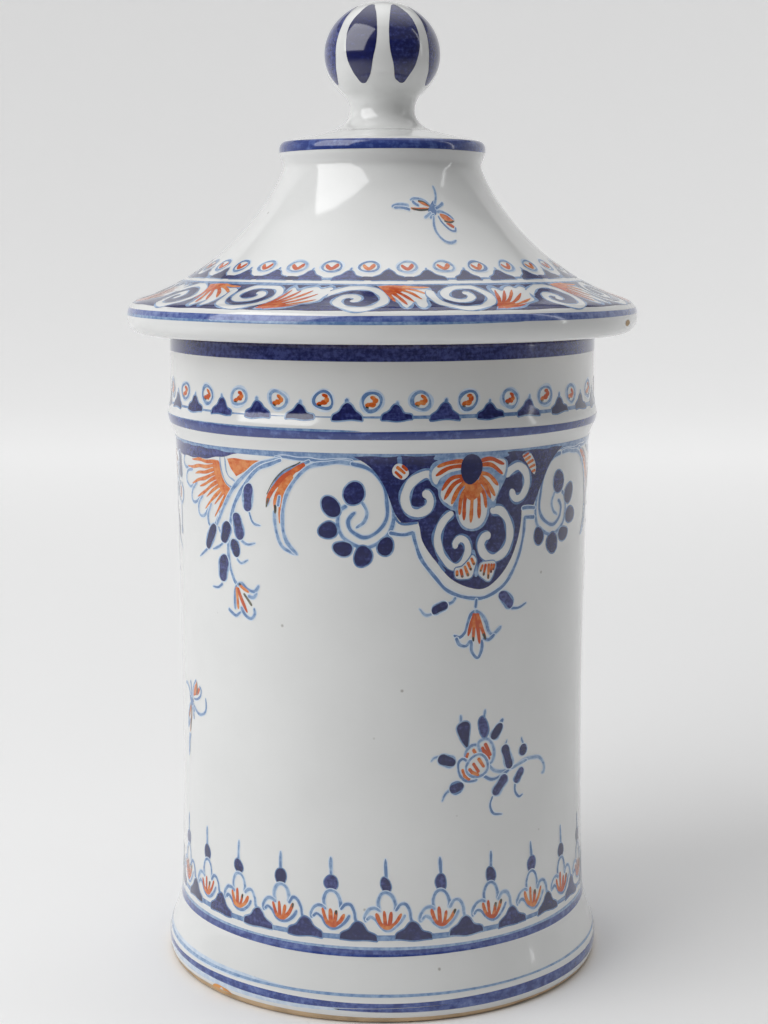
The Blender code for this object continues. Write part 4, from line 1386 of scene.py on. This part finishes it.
class JAR_OT_paint_border(bpy.types.Operator):
    """Paint the lower border: spears, lily cups, mounds and the band under them"""
    bl_idname = "jar.paint_border"
    bl_label = "Paint Border"

    def execute(self, context):
        zone = Zone(JAR, JAR.starts["belly"], BELLY_READING)
        work = Painting("border", zone, "jar", "jar_glaze", context.scene.jar_sizes.lift, 9)
        work.band(PALE, 134.7, 136.2, waver=0.2, seed=7)
        work.band(MID, 138.9, 140.9, waver=0.25, seed=8)
        work.band(PALE, 138.1, 139.4, waver=0.2, seed=9, load=0.0, level=0.5)
        for k in range(SPEAR_REPEATS):
            work.lay(spear(200 + k), zone.degrees(360 / SPEAR_REPEATS * k + 1.0))
        work.finish(pigments(context))
        return {'FINISHED'}


class JAR_OT_paint_foot(bpy.types.Operator):
    """Paint the foot's lines, and lay its bare clay edge and the chip in its glaze"""
    bl_idname = "jar.paint_foot"
    bl_label = "Paint Foot"

    def execute(self, context):
        zone = Zone(JAR, JAR.starts["ankle"], 65.5)
        work = Painting("foot", zone, "jar", "jar_glaze", context.scene.jar_sizes.lift, 11)
        work.band(PALE, 11.7, 12.6, waver=0.15, seed=10, load=0.0)
        work.band(WASH, 10.9, 12.8, waver=0.2, seed=11, begin=-130, end=-24, level=0.4)
        work.band(MID, 14.1, 15.7, waver=0.25, seed=12)
        work.band(MID, 15.5, 17.2, waver=0.25, seed=13, begin=-12, end=235, level=0.9)
        work.band(WASH, 15.4, 17.3, waver=0.3, seed=14, begin=-130, end=-6, level=0.4)
        ring_end = JAR.starts["recess"] - JAR.starts["ankle"]
        work.band(CLAY, 18.6, ring_end, waver=0.3, seed=15)
        chip = Drawing(5)
        chip.blob(CHIP, (-3.6, 18.8), (-2.6, 17.6), (-0.6, 17.2), (1.6, 17.5), (3.0, 17.9), (4.4, 18.9),
                  (1, 19.4))
        work.lay(chip, zone.degrees(-45))
        work.finish(pigments(context))
        return {'FINISHED'}


class JAR_OT_paint_lid(bpy.types.Operator):
    """Paint the lid: the disc's band, hearts, scrolls and fans, the brim's band and an insect"""
    bl_idname = "jar.paint_lid"
    bl_label = "Paint Lid"

    def execute(self, context):
        lift = context.scene.jar_sizes.lift
        disc = Painting("disc", Zone(COVER, COVER.starts["lip_top"], 30.9), "lid", "lid_glaze", lift, 13)
        disc.band(MID, 0.6, 3.9, waver=0.12, seed=16, load=0.75)
        disc.finish(pigments(context))

        zone = Zone(COVER, COVER.starts["cone"], LID_READING)
        work = Painting("lid", zone, "lid", "lid_glaze", lift, 15)
        work.band(PALE, 41.8, 43.1, waver=0.15, seed=17)
        work.band(PALE, 44.9, 46.1, waver=0.2, seed=18)
        # The brim's band gets a thin load and so is painted lighter: partly its own thin wash, partly a
        # painted reflection of the overhead light on its upward face.
        work.band(MID, 63.3, 65.0, waver=0.2, seed=19, load=0.1)
        work.band(PALE, 64.8, 65.6, waver=0.15, seed=20, begin=-120, end=30, level=0.4)
        for k in range(LID_OVALS):
            work.lay(lid_oval(300 + k), zone.degrees(360 / LID_OVALS * k - 3.8))
        pair, left, right = lid_scroll_pair()
        for k in range(LID_SCROLLS // 2):
            work.lay(pair, SCROLL_PAIR * k, left=left, right=right, lattice=1.1)
        for k in range(2):
            work.lay(dragonfly().moved(dy=13), zone.degrees(24 + 180 * k))
        worn = Drawing(6)
        worn.blob(CLAY, (-1.5, 66.8), (0.1, 66.4), (1.4, 66.9), (1.6, 67.8), (0.2, 68.3), (-1.2, 67.8))
        work.lay(worn, zone.degrees(67), lattice=1.0)
        work.finish(pigments(context))

        seat = Painting("lid_seat", Zone(COVER, COVER.starts["seat"], 61.0), "lid", "lid_biscuit", lift, 17)
        seat.band(CLAY, 0.4, 70.0 - CAVITY_RADIUS - 0.4, waver=0.2, seed=21)
        seat.finish(pigments(context))
        return {'FINISHED'}


class JAR_OT_paint_knob(bpy.types.Operator):
    """Paint the knob's petals"""
    bl_idname = "jar.paint_knob"
    bl_label = "Paint Knob"

    def execute(self, context):
        zone = Zone(KNOB, 0.0, KNOB_RADIUS)
        work = Painting("knob", zone, "lid", "knob_glaze", context.scene.jar_sizes.lift, 19, sway=0.1)
        for k in range(KNOB_PETALS):
            work.lay(knob_petal(400 + k), zone.degrees(360 / KNOB_PETALS * (k - 0.5)), lattice=1.2)
        work.finish(pigments(context))
        return {'FINISHED'}


class JAR_OT_stage(bpy.types.Operator):
    """Lay the floor with its raised surround, and set the camera and the lights"""
    bl_idname = "jar.stage"
    bl_label = "Stage"

    def execute(self, context):
        scene = context.scene
        self.floor(scene.jar_colours)
        self.camera(scene)
        self.light("softbox", (-0.65, -0.41, 0.75), (0, 0, 0.2), (0.80, 0.95), 7.0)
        self.light("overhead", (0.0, 0.4, 2.2), (0, -0.1, 0), (3.4, 3.2), 11.6, spread=95)
        self.light("strip", (1.3, -0.14, 0.75), (0, 0, 0.2), (0.07, 1.3), 0.7)
        world = bpy.data.worlds.new("studio_air")
        world.use_nodes = True
        world.node_tree.nodes["Background"].inputs["Color"].default_value = (1.0, 1.0, 1.0, 1.0)
        world.node_tree.nodes["Background"].inputs["Strength"].default_value = 0.23
        scene.world = world
        scene.view_settings.view_transform = 'Standard'
        return {'FINISHED'}

    def floor(self, colours):
        """A round floor whose edge sweeps up into a surround, so no horizon shows from any side."""
        flat, wall, height = 1.6, 2.6, 1.7
        clear_selection()
        bpy.ops.mesh.primitive_circle_add(vertices=96, radius=flat, fill_type='NGON')
        floor = bpy.context.object
        floor.name = "stage_floor"
        bpy.ops.object.mode_set(mode='EDIT')
        bpy.ops.mesh.inset(thickness=flat * 0.5)
        bpy.ops.mesh.select_all(action='SELECT')
        bpy.ops.mesh.region_to_loop()
        steps = 12
        for step in range(steps):
            now, then = (math.radians(90 * (step + i) / steps) for i in (1, 0))
            reach = [flat + (wall - flat) * math.sin(a) for a in (now, then)]
            rise = height * (math.cos(then) - math.cos(now))
            bpy.ops.mesh.extrude_edges_move(TRANSFORM_OT_translate={"value": (0, 0, rise)})
            bpy.ops.transform.resize(value=(reach[0] / reach[1], reach[0] / reach[1], 1))
        bpy.ops.mesh.select_all(action='SELECT')
        bpy.ops.mesh.normals_make_consistent(inside=False)
        bpy.ops.object.mode_set(mode='OBJECT')
        bpy.ops.object.shade_smooth()
        floor.data.materials.append(stage_paper("matt_paper", colours.stage))

    def camera(self, scene):
        sizes = scene.jar_sizes
        data = bpy.data.cameras.new("front_view")
        data.lens = sizes.lens
        data.sensor_width = 36
        camera = bpy.data.objects.new("front_view", data)
        camera.location = (0.0005, -sizes.eye_distance, sizes.eye_height)
        camera.rotation_euler = (math.pi / 2 - sizes.eye_pitch, 0, 0)
        scene.collection.objects.link(camera)
        scene.camera = camera

    def light(self, name, place, target, size, power, spread=180):
        data = bpy.data.lights.new(name, 'AREA')
        data.shape = 'RECTANGLE'
        data.size, data.size_y = size
        data.energy = power
        data.spread = math.radians(spread)
        lamp = bpy.data.objects.new(name, data)
        lamp.location = place
        lamp.rotation_euler = (Vector(target) - Vector(place)).to_track_quat('-Z', 'Y').to_euler()
        bpy.context.scene.collection.objects.link(lamp)


class JAR_PT_panel(bpy.types.Panel):
    """Lists the steps of the finish"""
    bl_label = "Apothecary Jar"
    bl_space_type = 'VIEW_3D'
    bl_region_type = 'UI'
    bl_category = "Jar"

    def draw(self, context):
        for operator in OPERATORS:
            self.layout.operator(operator.bl_idname)
        for group in (context.scene.jar_sizes, context.scene.jar_colours):
            for name in group.bl_rna.properties.keys():
                if name not in ("rna_type", "name"):
                    self.layout.prop(group, name)


OPERATORS = (JAR_OT_turn_jar, JAR_OT_turn_lid, JAR_OT_paint_collar, JAR_OT_paint_belly, JAR_OT_paint_border,
             JAR_OT_paint_foot, JAR_OT_paint_lid, JAR_OT_paint_knob, JAR_OT_stage)
CLASSES = (JarColours, JarSizes, *OPERATORS, JAR_PT_panel)


def register():
    for cls in CLASSES:
        bpy.utils.register_class(cls)
    bpy.types.Scene.jar_colours = bpy.props.PointerProperty(type=JarColours)
    bpy.types.Scene.jar_sizes = bpy.props.PointerProperty(type=JarSizes)


def unregister():
    del bpy.types.Scene.jar_sizes
    del bpy.types.Scene.jar_colours
    for cls in reversed(CLASSES):
        bpy.utils.unregister_class(cls)


def main():
    register()
    bpy.ops.jar.turn_jar()
    bpy.ops.jar.turn_lid()
    bpy.ops.jar.paint_collar()
    bpy.ops.jar.paint_belly()
    bpy.ops.jar.paint_border()
    bpy.ops.jar.paint_foot()
    bpy.ops.jar.paint_lid()
    bpy.ops.jar.paint_knob()
    bpy.ops.jar.stage()


if __name__ == "__main__":
    main()
